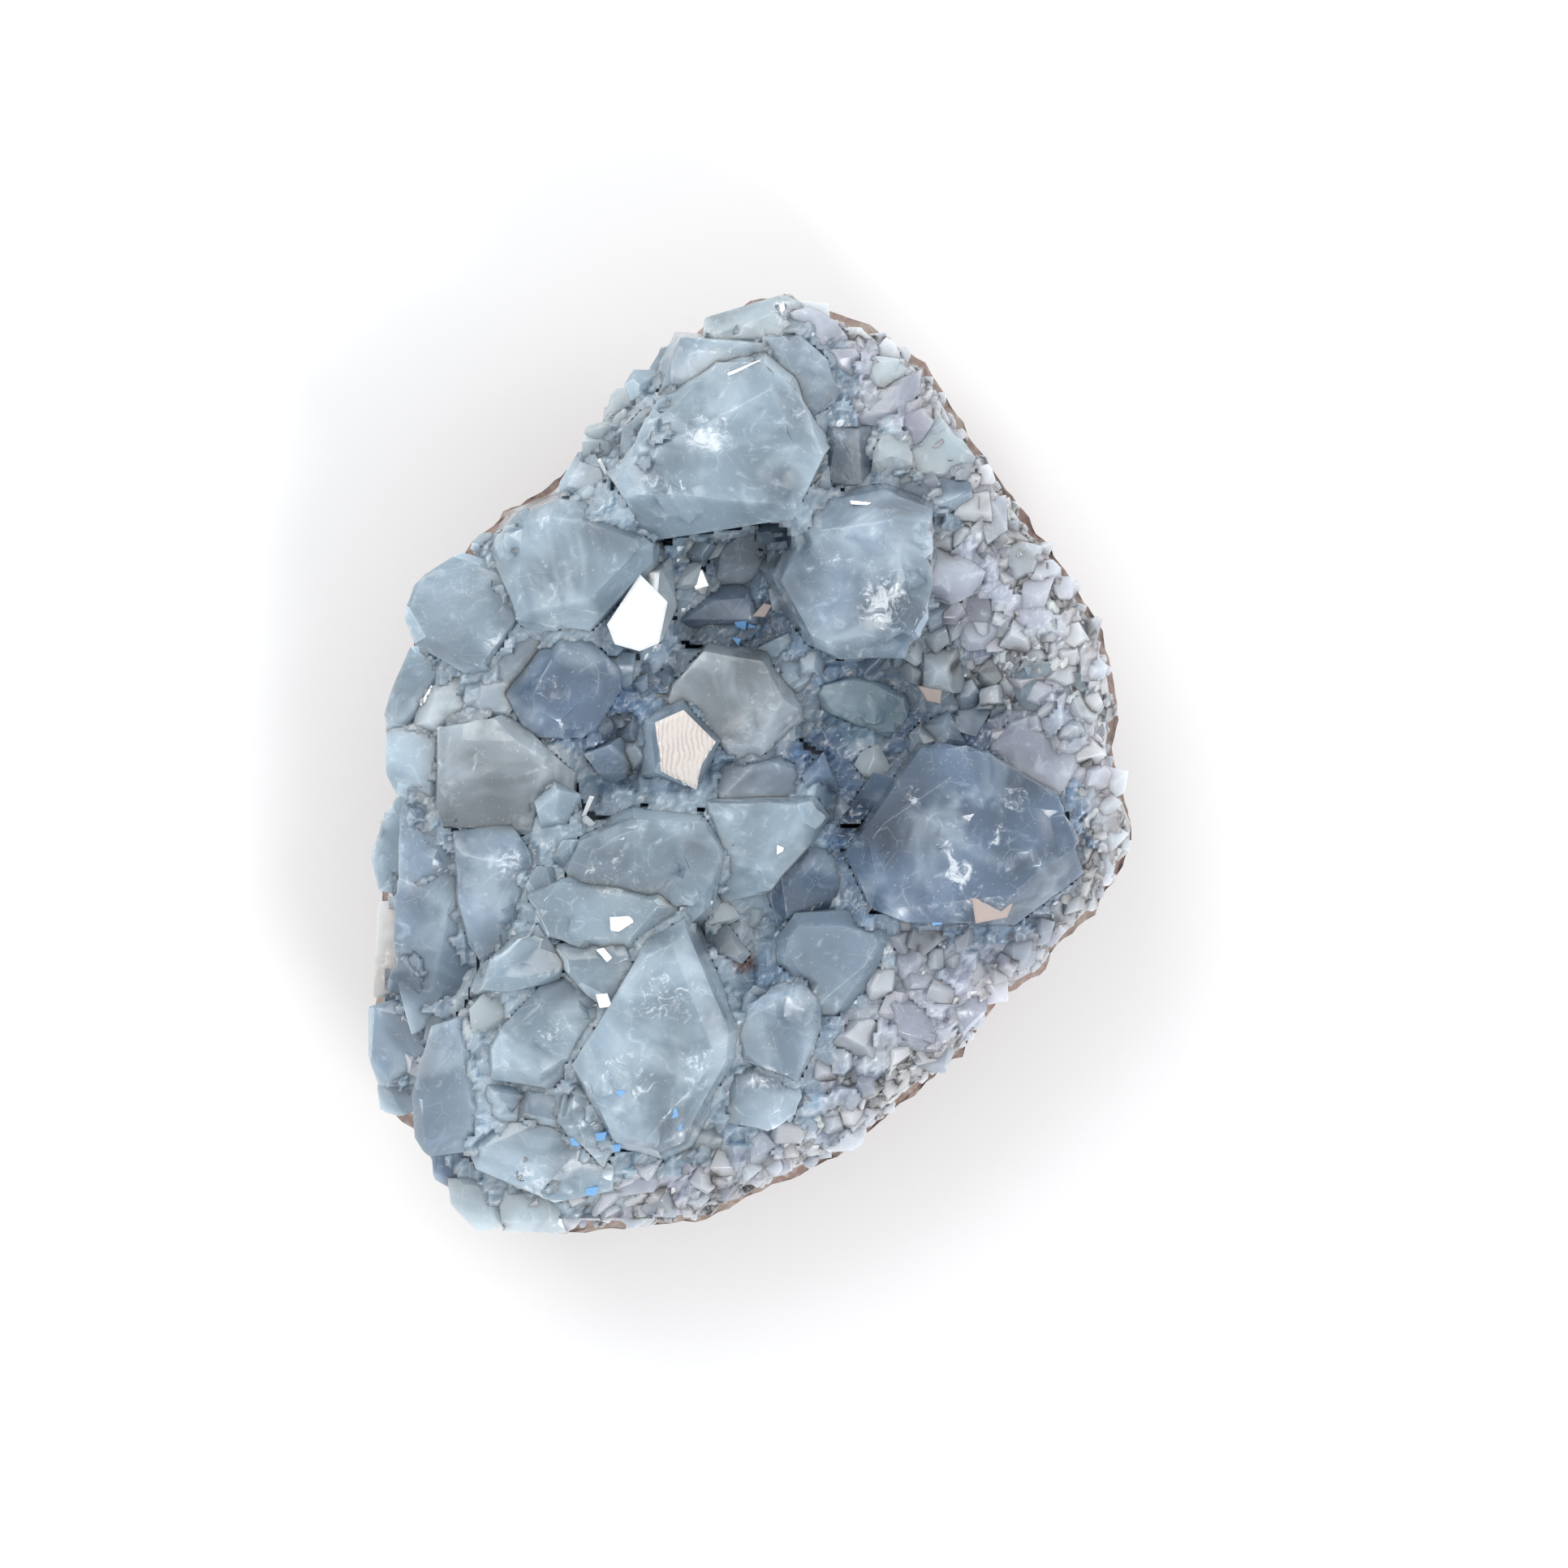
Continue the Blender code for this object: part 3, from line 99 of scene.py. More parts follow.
# Large and middling crystals: tone, height of the cap, outline of the cap seen
# from above, tilt of the cap (direction, degrees), chamfer (width, slope), flare
# of the walls, lean of the crystal and extra facets (direction, slope, reach).
CRYSTALS = (
    # Top of the specimen
    dict(tone="pale", top=43.0, outline=((-13.7, 28.5), (-12.7, 25), (-10, 22.5), (4.3, 24.8), (7.4, 31.2),
         (4, 38.5), (1.3, 40.6), (-3, 40.2), (-9, 36), (-12, 32)),
         tilt=(110, 4), bevel=(0.9, 50), lean=(-90, 8), cuts=((-96, 52, 6.2), (-12, 30, 7.0), (160, 20,
         6.0))),
    dict(tone="pale", top=38.0, outline=((-7, 43.6), (1.5, 42.9), (1.7, 41), (-2, 39), (-9.5, 37.6)),
         tilt=(100, 14), bevel=(0.8, 40)),
    dict(tone="blue", top=36.0, outline=((1.5, 43.6), (5, 43.9), (7.8, 41.5), (8.8, 38), (5, 34), (1, 40)),
         tilt=(60, 14), bevel=(1.0, 40)),
    dict(tone="frost", top=31.5, outline=((-4.6, 46), (3.4, 48.4), (5.6, 47.4), (4.4, 43), (-5, 43)),
         tilt=(95, 12), flare=1, root=25),
    dict(tone="lilac", top=32.5, outline=((4.1, 46.5), (6, 47), (8.6, 45.7), (10, 44), (10.4, 42), (9.8,
         39), (6, 41)),
         tilt=(40, 10), bevel=(1.3, 35), flare=1, root=25),
    dict(tone="frost", top=32.0, outline=((12, 41.5), (13, 42), (15.6, 41.6), (15.9, 40.4), (14.6, 38.3),
         (12, 38.8)),
         tilt=(60, 18), bevel=(0.5, 40)),
    dict(tone="lilac", top=32.5, outline=((9.8, 36), (11.8, 38.6), (15, 38.8), (17.3, 40.2), (17.3,
         38.3), (14.5, 35), (10.5, 34.8)),
         tilt=(120, 12), bevel=(0.9, 40)),
    dict(tone="frost", top=33.0, outline=((12.5, 29), (12.7, 32), (13.5, 33.6), (15.8, 34.6), (17.4, 29),
         (15, 27.2)),
         tilt=(-60, 16), bevel=(0.6, 45), cuts=((40, 28, 1.0),)),
    dict(tone="frost", top=31.5, outline=((16.2, 34), (19.5, 35.8), (23, 31.6), (22.5, 29.8), (17.3, 28.6)),
         tilt=(40, 14), bevel=(0.8, 40)),
    dict(tone="slate", top=33.5, outline=((8.0, 35.4), (12.4, 34.6), (12.6, 28), (8, 27), (7, 31)),
         tilt=(0, 22), bevel=(0.8, 40)),
    # Right
    dict(tone="blue", top=41.5, outline=((3.5, 18.5), (4.5, 22.5), (6.8, 25.8), (10, 26.9), (14, 27.2),
         (18.6, 25.5),
         (18.6, 18.6), (17.2, 12.6), (16, 10.9), (13, 10.4), (9.5, 10.6), (7, 11.9), (5.2, 14.6)),
         tilt=(150, 3), bevel=(1.1, 46), lean=(-60, 8), cuts=((-86, 50, 5.6), (205, 32, 5.4), (20, 18,
         4.5))),
    dict(tone="pale", top=34.0, outline=((2.6, 20.4), (3.9, 22.9), (5.2, 22), (4.8, 19), (3.3, 18.4)),
         tilt=(190, 20), bevel=(0.4, 45)),
    dict(tone="slate", top=33.0, outline=((15.5, 28.8), (20, 29.4), (22.6, 29), (22.9, 27.6), (20, 25.6),
         (15, 26)),
         tilt=(80, 20), bevel=(0.6, 40)),
    dict(tone="lilac", top=31.5, outline=((17, 24), (19, 25), (21, 24.4), (22, 22.6), (20.8, 20.5), (17,
         21)),
         tilt=(70, 12), bevel=(0.8, 40)),
    dict(tone="lilac", top=33.0, outline=((17.8, 21.6), (20, 22.3), (22.2, 21.2), (24.2, 19.8), (23.5,
         17.8), (21, 16.3), (17.6, 17)),
         tilt=(20, 14), bevel=(0.7, 42)),
    dict(tone="frost", top=31.0, outline=((19.7, 26.3), (21, 27.3), (22.7, 26.9), (21.6, 24.6), (19.5,
         24.5)),
         tilt=(60, 16), bevel=(0.4, 45)),
    dict(tone="lilac", top=31.0, outline=((20.3, 16), (22, 18), (24, 18.1), (26.2, 16.5), (26.2, 14),
         (24.4, 12), (22.6, 11.7),
         (20.8, 13)), tilt=(-20, 12), bevel=(0.7, 45)),
    dict(tone="blue", top=30.5, outline=((27, 9.5), (29.5, 10.8), (32, 10), (35, 9.6), (35.6, 6), (34.5,
         3.8), (30, 3.4),
         (28.2, 5.2), (27.2, 7.4)), tilt=(200, 8), bevel=(0.9, 42), flare=2),
    dict(tone="smoky", top=27.5, outline=((17.2, 8), (19, 11.2), (21, 12.2), (22.4, 10.5), (24.3, 8),
         (21.4, 6), (18.2, 6)),
         tilt=(230, 16), bevel=(0.7, 45)),
    dict(tone="slate", top=26.5, outline=((17.9, 4.5), (18.5, 6.2), (20.5, 6), (23.2, 5.7), (24.3, 4),
         (24, 1.4), (20, 1.4),
         (18.2, 2.8)), tilt=(200, 12), bevel=(0.7, 45)),
    dict(tone="lilac", top=32.0, outline=((24.2, 0.3), (25, 2.2), (27, 4.2), (29, 5), (31, 3.6), (33.2,
         3.1), (33.9, 0),
         (33.8, -3), (31, -3.5)), tilt=(60, 10), bevel=(0.6, 45), cuts=((170, 20, 2.6),)),
    dict(tone="lilac", top=29.0, outline=((33.3, 1), (35, 2.1), (36.7, 1.2), (37.4, -1), (37, -3), (35.4,
         -3.9), (33.5, -3.5)),
         tilt=(20, 14), bevel=(0.9, 40), flare=1, root=24.5),
    dict(tone="cream", top=27.5, outline=((35.4, -4), (38.2, -3.4), (39.3, -6), (39.2, -9), (38, -10),
         (36.6, -8.5)),
         tilt=(0, 14), bevel=(1.1, 35), flare=0, root=25),
    dict(tone="deep", top=41.0, outline=((10, -9), (12, -6), (14.2, -2.8), (17.6, 1.6), (20, 1.9), (24.4,
         1), (28, -0.8),
         (31.5, -3.6), (34, -8), (33.8, -11), (32, -13.1), (29.5, -15.2), (27, -16.2), (22, -16.4), (16,
         -16),
         (12.6, -14.6)), tilt=(-60, 3), bevel=(1.3, 44), flare=3, root=23.5,
         cuts=((125, 34, 7.0), (-80, 20, 4.6), (10, 16, 6.0), (-30, 26, 9.2))),
    # Middle
    # Tinted paler for the window that its cap mirrors: painted reflection.
    dict(tone="mirror", top=31.5, outline=((-15, 14), (-13.4, 18), (-10.6, 20), (-8, 20.6), (-7.6, 15.8),
         (-9, 12.7), (-11.5, 11.2)),
         tilt=(-62, 20), bevel=(0.3, 60), flare=9, lean=(-60, 14)),
    dict(tone="frost", top=27.0, outline=((-8.4, 21.6), (-6.5, 21.4), (-4.2, 19.3), (-4.6, 17.6), (-7,
         17.8)),
         tilt=(-40, 24), bevel=(0.5, 45)),
    dict(tone="slate", top=25.5, outline=((-5, 21), (-3.5, 24.5), (3.6, 24.5), (4, 20), (2.6, 17), (-3.6,
         17.6)),
         tilt=(-90, 26), bevel=(1.0, 40)),
    dict(tone="deep", top=26.0, outline=((-9, 12.5), (-8, 15.6), (-5, 18.3), (-1.5, 18.6), (2, 17.3),
         (3.2, 15), (1, 11.6),
         (-5, 11.6)), tilt=(-80, 12), bevel=(1.0, 45), cuts=((-15, 34, 2.6), (-110, 28, 3.2))),
    dict(tone="smoky", top=32.0, outline=((-9.3, 6.8), (-6, 10.6), (-4.2, 12.2), (1.5, 11.4), (4.9, 6),
         (5, 4.6), (3.4, 2.7),
         (1, 1), (-2, 1.3), (-6.5, 5)), tilt=(110, 6), bevel=(0.5, 55), flare=6, cuts=((-8, 26, 3.6),)),
    dict(tone="blue", top=29.0, outline=((1, 12), (4, 13.5), (6.1, 11.3), (6.4, 9.8), (5.9, 8), (4.4, 7),
         (1, 8)),
         tilt=(20, 16), bevel=(0.8, 42)),
    dict(tone="blue", top=34.0, outline=((-9.8, 4.3), (-6.8, 5.8), (-3.3, 2.2), (-4.4, 0.4), (-5.2,
         -1.7), (-6.5, -2.2),
         (-9.2, -0.9)), tilt=(-30, 15), bevel=(0.2, 60), flare=16, lean=(-40, 8)),
    dict(tone="pale", top=28.5, outline=((-18.4, 1.3), (-16.3, 2), (-14.3, 2.6), (-12.8, 3), (-11.2, 1),
         (-11, -2), (-14.6, -2.2),
         (-18, -1)), tilt=(60, 12), bevel=(0.6, 45), cuts=((-60, 30, 0.6),)),
    dict(tone="blue", top=28.0, outline=((-18.4, -3.2), (-14, -2.6), (-10.3, -1.8), (-9.8, -4.6), (-12,
         -6.4), (-17.5, -7.6)),
         tilt=(-100, 12), bevel=(0.7, 45), cuts=((160, 26, 2.0),)),
    dict(tone="frost", top=29.0, outline=((-9.6, -3.8), (-8, -2.8), (-5.2, -3.2), (-4.8, -5), (-6, -6.2),
         (-9, -5.6)),
         tilt=(-40, 10), bevel=(0.4, 45)),
    dict(tone="frost", top=24.5, outline=((3.4, 3.1), (5.6, 2.8), (8.2, 2.4), (7.4, 0), (6.5, -1.2),
         (3.4, 1.2)),
         tilt=(40, 22), bevel=(0.5, 45)),
    dict(tone="frost", top=24.0, outline=((8.7, 3.1), (12, 2.2), (11.2, 0.6), (9.5, 0.6)),
         tilt=(-40, 24), bevel=(0.4, 45)),
    dict(tone="plate", top=27.5, outline=((6.6, 6), (7, 8), (10.5, 9), (14.8, 8.2), (17.2, 6.6), (15,
         2.8), (13.2, 3.2), (9, 5.2)),
         tilt=(-100, 18), bevel=(0.4, 50)),
    dict(tone="slate", top=31.0, outline=((-4.4, -3.6), (-3.6, -0.2), (-1, 1.2), (3, 1.2), (5.8, 0.5),
         (6.8, -2), (8.2, -5),
         (4, -5.5)), tilt=(75, 12), bevel=(0.6, 45), cuts=((10, 34, 4.6),)),
    dict(tone="pale", top=36.5, outline=((-4, -4.1), (1.5, -4.2), (6.2, -3.9), (7.4, -5.5), (6.6, -7.4),
         (3.6, -8.9), (2, -12.6),
         (-0.5, -12.8), (-3, -13.6), (-4, -12)), tilt=(120, 6), bevel=(0.3, 60), flare=8,
         cuts=((-112, 44, 2.8), (-30, 28, 2.0))),
    dict(tone="deep", top=33.0, outline=((3.2, -8.6), (6.5, -7), (8.3, -5), (10, -9), (10.2, -11), (9.6,
         -13.2), (8, -15),
         (3, -16.6), (2, -13)), tilt=(-20, 28), bevel=(0.4, 50), flare=8),
    dict(tone="frost", top=31.0, outline=((-4.1, -14.6), (-1.5, -13.2), (1.2, -12), (2.2, -13.5), (2.4,
         -17.5), (0.5, -18.3),
         (-3.8, -16.2)), tilt=(-60, 16), bevel=(0.7, 45), cuts=((60, 30, 0.8),)),
    dict(tone="smoky", top=28.0, outline=((-4.7, -16), (-0.5, -17), (1.5, -18), (2.8, -20.8), (0, -22.3),
         (-4.3, -22)),
         tilt=(-20, 18), bevel=(0.6, 45)),
    # Lower right
    dict(tone="blue", top=34.5, outline=((2.9, -18), (4.7, -15.4), (10, -15.2), (14.1, -16.8), (13.3,
         -20), (11.5, -23.6),
         (10, -25.8), (8, -26.2), (6, -23), (2.9, -20.6)), tilt=(-70, 8), bevel=(0.8, 45), flare=7,
         cuts=((88, 46, 3.6),)),
    dict(tone="blue", top=35.5, outline=((-0.4, -24), (2, -23.3), (4, -22.2), (5.4, -22.6), (7.2, -25),
         (7.3, -27), (5.9, -30.2),
         (4.8, -32.2), (2, -31.5), (-1, -30.2), (-1.4, -27.3)), tilt=(-30, 7), bevel=(0.8, 42), flare=7,
         cuts=((100, 26, 3.2),)),
    dict(tone="slate", top=31.0, outline=((-4.2, -22), (0.2, -22.2), (0.2, -25), (-1.3, -28.2), (-3.8,
         -25.4)),
         tilt=(160, 18), bevel=(0.6, 45)),
    dict(tone="blue", top=33.5, outline=((-2.5, -30.6), (0, -30.6), (4.7, -32), (5.2, -34), (4.3, -36),
         (2, -37.5), (0, -37.7),
         (-2.1, -36.7), (-2.8, -34)), tilt=(-60, 10), bevel=(0.8, 42)),
    dict(tone="frost", top=29.0, outline=((-5.4, -32), (-2, -32.5), (-1.6, -37.6), (-5.2, -37.2)),
         tilt=(-90, 16), bevel=(0.7, 45)),
    dict(tone="pale", top=27.5, outline=((3.8, -35.8), (5.6, -35.8), (6.2, -38), (5, -39.2), (3.6, -37.6)),
         tilt=(-40, 22), bevel=(0.4, 45)),
    dict(tone="slate", top=28.5, outline=((7, -25), (12.6, -23.5), (13.4, -28), (10, -31), (6.2, -30)),
         tilt=(-40, 14), bevel=(0.9, 42)),
    dict(tone="lilac", top=31.5, outline=((12.9, -18.8), (14, -17), (16.2, -18), (16.2, -20.2), (14,
         -20.6)),
         tilt=(-30, 20), bevel=(0.4, 45)),
    dict(tone="lilac", top=32.0, outline=((14, -25), (16.5, -23), (19.8, -23.8), (20, -29.4), (15, -29.2)),
         tilt=(-20, 14), bevel=(0.7, 42)),
    dict(tone="lilac", top=31.5, outline=((20.3, -24.6), (22, -23.3), (24.4, -22.9), (24.3, -25.3), (22,
         -28), (20.6, -26.5)),
         tilt=(-30, 16), bevel=(0.6, 42), flare=2),
    dict(tone="lilac", top=32.0, outline=((14.4, -19.5), (18.5, -17.4), (20.4, -20), (19, -23), (15, -23)),
         tilt=(60, 12), bevel=(0.8, 42)),
    dict(tone="lilac", top=31.0, outline=((20.4, -17.2), (25.6, -16.8), (26.5, -20), (24, -22.6), (20.4,
         -22.2)),
         tilt=(-10, 12), bevel=(0.8, 42), flare=2),
    dict(tone="lilac", top=30.0, outline=((8, -30.6), (13.6, -28.4), (14.6, -31), (11, -34.6), (7, -33.6)),
         tilt=(-50, 16), bevel=(0.7, 42)),
    dict(tone="lilac", top=29.0, outline=((7, -34), (10.6, -34.6), (9.8, -37.4), (7.2, -38.4), (6.2, -36)),
         tilt=(-60, 18), bevel=(0.6, 42), flare=2),
    # Left
    dict(tone="pale", top=36.0, outline=((-35.7, 15), (-34.2, 18.6), (-32, 20.6), (-30, 22), (-26.5,
         20.9), (-24.2, 20.2),
         (-23.6, 16), (-25, 13.8), (-27.8, 10.3), (-30, 9.8), (-32, 10.8), (-34.6, 12.4)),
         tilt=(150, 8), bevel=(1.0, 42), flare=1, lean=(155, 18), root=15, cuts=((-40, 18, 4.2),)),
    dict(tone="pale", top=39.5, outline=((-26.2, 22), (-24, 25.1), (-22, 26.4), (-19.5, 26.9), (-16,
         26.5), (-12, 24.4),
         (-9.8, 22.4), (-10, 20.8), (-14.5, 16.3), (-16.5, 14), (-20, 14.2), (-23.5, 14.8)),
         tilt=(120, 5), bevel=(0.9, 44), cuts=((-80, 46, 5.4), (176, 40, 6.0))),
    dict(tone="pale", top=34.0, outline=((-19.5, 29), (-17.6, 32.2), (-16, 31.8), (-13.5, 28.6), (-14.4,
         26.6), (-17, 26),
         (-19.5, 27)), tilt=(120, 12), bevel=(0.7, 45), flare=1, root=19.8),
    dict(tone="frost", top=32.0, outline=((-16.8, 33.6), (-14.6, 36.4), (-11.5, 36.2), (-12, 32), (-14,
         30.6)),
         tilt=(140, 14), bevel=(0.7, 42), flare=1, root=19.8),
    dict(tone="frost", top=31.0, outline=((-14.6, 36), (-11.6, 39.6), (-9.6, 38.4), (-11.6, 35)),
         tilt=(140, 16), bevel=(0.6, 42), flare=1, root=19.8),
    dict(tone="pale", top=36.5, outline=((-12.6, 34.3), (-10, 36.4), (-6.3, 38.8), (-6.2, 33), (-8.5,
         30.5), (-12, 31.6)),
         tilt=(130, 12), bevel=(0.7, 45)),
    dict(tone="blue", top=31.0, outline=((-11, 39.8), (-9.2, 42.8), (-7.8, 43.2), (-6, 41.5), (-8, 38)),
         tilt=(140, 12), bevel=(0.7, 42), flare=1, root=19.8),
    dict(tone="deep", top=35.5, outline=((-24.6, 7), (-23.7, 9), (-22.4, 10.8), (-20, 14.2), (-18.3,
         14.5), (-14.4, 11.2),
         (-13.2, 9.8), (-13, 7.6), (-15.4, 3.9), (-17, 2.7), (-19.6, 2.5), (-22.2, 2.8)),
         tilt=(-20, 10), bevel=(1.2, 40), lean=(-30, 10), cuts=((-55, 38, 3.0), (60, 32, 3.6))),
    dict(tone="blue", top=33.5, outline=((-28.6, 9), (-27, 12.2), (-25.5, 14.4), (-22.5, 15), (-19.8,
         14.3), (-22.5, 10.2),
         (-25, 4.5), (-28.8, 5.6)), tilt=(170, 8), bevel=(0.7, 42)),
    dict(tone="pale", top=29.5, outline=((-35, 12.2), (-36.2, 8.6), (-38, 5.4), (-37.8, 3.4), (-36, 3.4),
         (-33.8, 6),
         (-31.8, 8.3), (-31.8, 10.4), (-33.5, 12.4)), tilt=(175, 14), bevel=(0.6, 42), flare=0,
         lean=(175, 22),
         root=15),
    dict(tone="frost", top=31.5, outline=((-34.2, 6), (-32.2, 8.5), (-30.3, 10.3), (-28.2, 9.2), (-28.2,
         5), (-30.5, 4),
         (-32, 3.3), (-34.6, 4)), tilt=(150, 12), bevel=(0.6, 42), flare=3),
    dict(tone="pale", top=30.0, outline=((-37.9, 3.6), (-34, 4.2), (-31.3, 3.8), (-31, 0), (-31.5, -3.8),
         (-35, -4),
         (-36.6, -3), (-37.7, -1)), tilt=(180, 12), bevel=(0.8, 40), flare=0, lean=(180, 22), root=15),
    dict(tone="smoky", top=35.5, outline=((-31.8, 3.6), (-30, 4.5), (-25.5, 5), (-23.3, 4), (-21, 2),
         (-19.4, 0.5), (-18.2, -1),
         (-18.1, -4.6), (-18.8, -6.6), (-24, -7.2), (-28, -6.5), (-31.2, -6.2), (-32, -4)),
         tilt=(160, 5), bevel=(0.8, 42), cuts=((-10, 34, 4.6), (100, 22, 3.6))),
    dict(tone="pale", top=27.0, outline=((-36.6, -3), (-38.4, -6.5), (-39.3, -9.5), (-38.6, -13.2), (-33,
         -13.6),
         (-32.5, -4)), tilt=(180, 18), bevel=(0.8, 40), flare=-2, lean=(180, 22), root=15),
    dict(tone="blue", top=31.5, outline=((-36, -3.8), (-31.3, -4.4), (-30, -7), (-29.6, -11), (-29, -15),
         (-28.6, -19),
         (-28, -23.2), (-30, -25.2), (-35, -27.7), (-36.2, -23), (-36.8, -18)),
         tilt=(180, 9), bevel=(1.0, 38), flare=2, lean=(180, 12), root=15, cuts=((-20, 22, 2.4), (-90,
         14, 6.5))),
    dict(tone="cream", top=26.0, outline=((-38.9, -14), (-32.5, -14), (-32.5, -24), (-39.4, -24.2)),
         tilt=(180, 14), bevel=(0.9, 40), flare=-3, lean=(180, 20), root=15),
    dict(tone="blue", top=27.5, outline=((-39.6, -25), (-37, -24.2), (-32.4, -26), (-32, -31), (-36.4,
         -33), (-38.6, -33.2),
         (-39.6, -30)), tilt=(190, 16), bevel=(0.8, 40), flare=-3, lean=(190, 20), root=15),
    dict(tone="pale", top=26.5, outline=((-38.8, -32.8), (-33, -31.5), (-32.2, -35), (-36.2, -36.4),
         (-38.4, -35.8)),
         tilt=(200, 18), bevel=(0.6, 40), flare=-3, lean=(200, 20), root=15),
    dict(tone="blue", top=36.0, outline=((-33, -27), (-29.5, -25.8), (-27.6, -27.4), (-25.8, -29.5),
         (-25.8, -32), (-27, -36.2),
         (-29.3, -38.5), (-29.8, -39.8), (-33, -40.2), (-34.8, -38.4), (-35, -34)),
         tilt=(200, 9), bevel=(1.0, 40), flare=2, lean=(200, 16), root=15, cuts=((0, 20, 3.0),)),
    dict(tone="pale", top=41.5, outline=((-27, -22.8), (-26, -19.8), (-21.5, -16.3), (-18.6, -19.5),
         (-19.5, -22), (-24.5, -23)),
         tilt=(100, 7), bevel=(0.5, 50), flare=7),
    dict(tone="frost", top=38.0, outline=((-28.6, -25), (-26, -22), (-23, -23), (-25, -27.2), (-28.4,
         -27.4)),
         tilt=(170, 16), bevel=(0.5, 45)),
    dict(tone="pale", top=42.0, outline=((-18.7, -19.8), (-15.8, -23), (-14.2, -25), (-16, -28.2),
         (-18.5, -31.7), (-20.5, -32.8),
         (-26, -31.8), (-26.2, -29), (-25, -26.8), (-20.5, -22.2)), tilt=(-150, 6), bevel=(0.8, 46),
         flare=6,
         cuts=((60, 22, 3.0), (-95, 30, 4.6))),
    dict(tone="blue", top=37.5, outline=((-30.2, -7), (-24.5, -6.2), (-22.6, -9), (-21.6, -14), (-20.8,
         -16.6), (-24.5, -19.3),
         (-27, -20.4), (-28.7, -18), (-29.7, -14)), tilt=(190, 7), bevel=(0.8, 44), cuts=((90, 26, 4.0),
         (-20, 30, 2.6))),
    dict(tone="pale", top=41.5, outline=((-17.2, -7.9), (-15, -6.6), (-12, -5.6), (-8, -5.4), (-5, -5.8),
         (-3.8, -7), (-3, -9),
         (-3.5, -12), (-4.2, -14.4), (-6, -16), (-14, -15), (-18.5, -11)), tilt=(80, 4), bevel=(0.8, 46),
         flare=6,
         cuts=((82, 26, 3.4),)),
    dict(tone="pale", top=42.5, outline=((-22.2, -13.4), (-18, -11.5), (-10, -12.5), (-7, -15), (-9,
         -18), (-14, -20),
         (-20.6, -17.4)), tilt=(130, 5), bevel=(0.7, 46), flare=6, cuts=((-95, 30, 2.6),)),
    dict(tone="pale", top=42.5, outline=((-20, -18.4), (-13, -18), (-11, -21.6), (-13.6, -25.4), (-16.6,
         -23.4), (-19.2, -20.4)),
         tilt=(200, 8), bevel=(0.6, 46), flare=6),
    dict(tone="pale", top=44.5, outline=((-10.4, -18), (-8, -16.2), (-6.8, -16.1), (-5.4, -19), (-4,
         -22.5), (-2.2, -27.2),
         (-2.6, -30), (-4.5, -33.7), (-7, -38.2), (-9.2, -39.2), (-13.5, -38.2), (-17.8, -30.6), (-14,
         -23.6)),
         tilt=(-150, 5), bevel=(0.7, 46), flare=6, cuts=((-62, 24, 7.2), (20, 30, 5.6), (-125, 22, 8.4))),
    dict(tone="blue", top=37.0, outline=((-27, -32.8), (-22.5, -33), (-22.6, -36.6), (-26.6, -36.4)),
         tilt=(-110, 14), bevel=(0.5, 45)),
    dict(tone="blue", top=37.5, outline=((-23.2, -33.6), (-19.2, -33), (-19.6, -37.2), (-23.7, -36.6)),
         tilt=(-80, 12), bevel=(0.5, 45)),
    dict(tone="pale", top=38.5, outline=((-18.6, -32), (-14.2, -34.6), (-13.2, -37.6), (-15, -41),
         (-19.6, -36.6)),
         tilt=(-60, 14), bevel=(0.6, 45)),
    dict(tone="pale", top=36.0, outline=((-28.9, -39), (-28, -36.8), (-25, -36), (-20, -37), (-16.3,
         -39.8), (-14, -41.2),
         (-14.2, -43.6), (-17, -44.6), (-20, -44.8), (-24.5, -43.4), (-28, -41.4)),
         tilt=(-110, 8), bevel=(0.8, 44), flare=3, cuts=((-60, 24, 2.6), (130, 20, 3.4))),
    dict(tone="deep", top=27.5, outline=((-33, -40), (-29.3, -38), (-27, -41), (-28.8, -43.2), (-31.3,
         -44), (-32.8, -43)),
         tilt=(-140, 18), bevel=(0.7, 42), flare=-1, lean=(-140, 16), root=15),
    dict(tone="frost", top=28.5, outline=((-31.3, -43), (-26, -42.6), (-25.4, -47.8), (-28, -48.3), (-31,
         -45.4)),
         tilt=(-120, 14), bevel=(0.8, 40), flare=-1, lean=(-110, 12), root=15),
    dict(tone="frost", top=28.5, outline=((-26, -43.6), (-20, -44.6), (-19, -48.4), (-25.6, -48.2)),
         tilt=(-95, 12), bevel=(0.8, 40), flare=0),
    dict(tone="lilac", top=30.0, outline=((-14.3, -40.5), (-10, -38.8), (-8.3, -41.6), (-10, -44),
         (-13.7, -44.5)),
         tilt=(-80, 14), bevel=(0.9, 42)),
    dict(tone="smoky", top=30.5, outline=((-9, -37), (-6, -36), (-1.2, -37.8), (-2.2, -40.2), (-7.6,
         -40.4)),
         tilt=(-80, 16), bevel=(0.7, 42)),
    # Small crystal coloured as the blue glint that it shows: painted reflection.
    dict(tone="vivid", top=27.5, outline=((-6, -43), (-3.6, -42), (-3.2, -44.6), (-5.6, -45)),
         tilt=(-60, 20), bevel=(0.3, 45), flare=1),
)

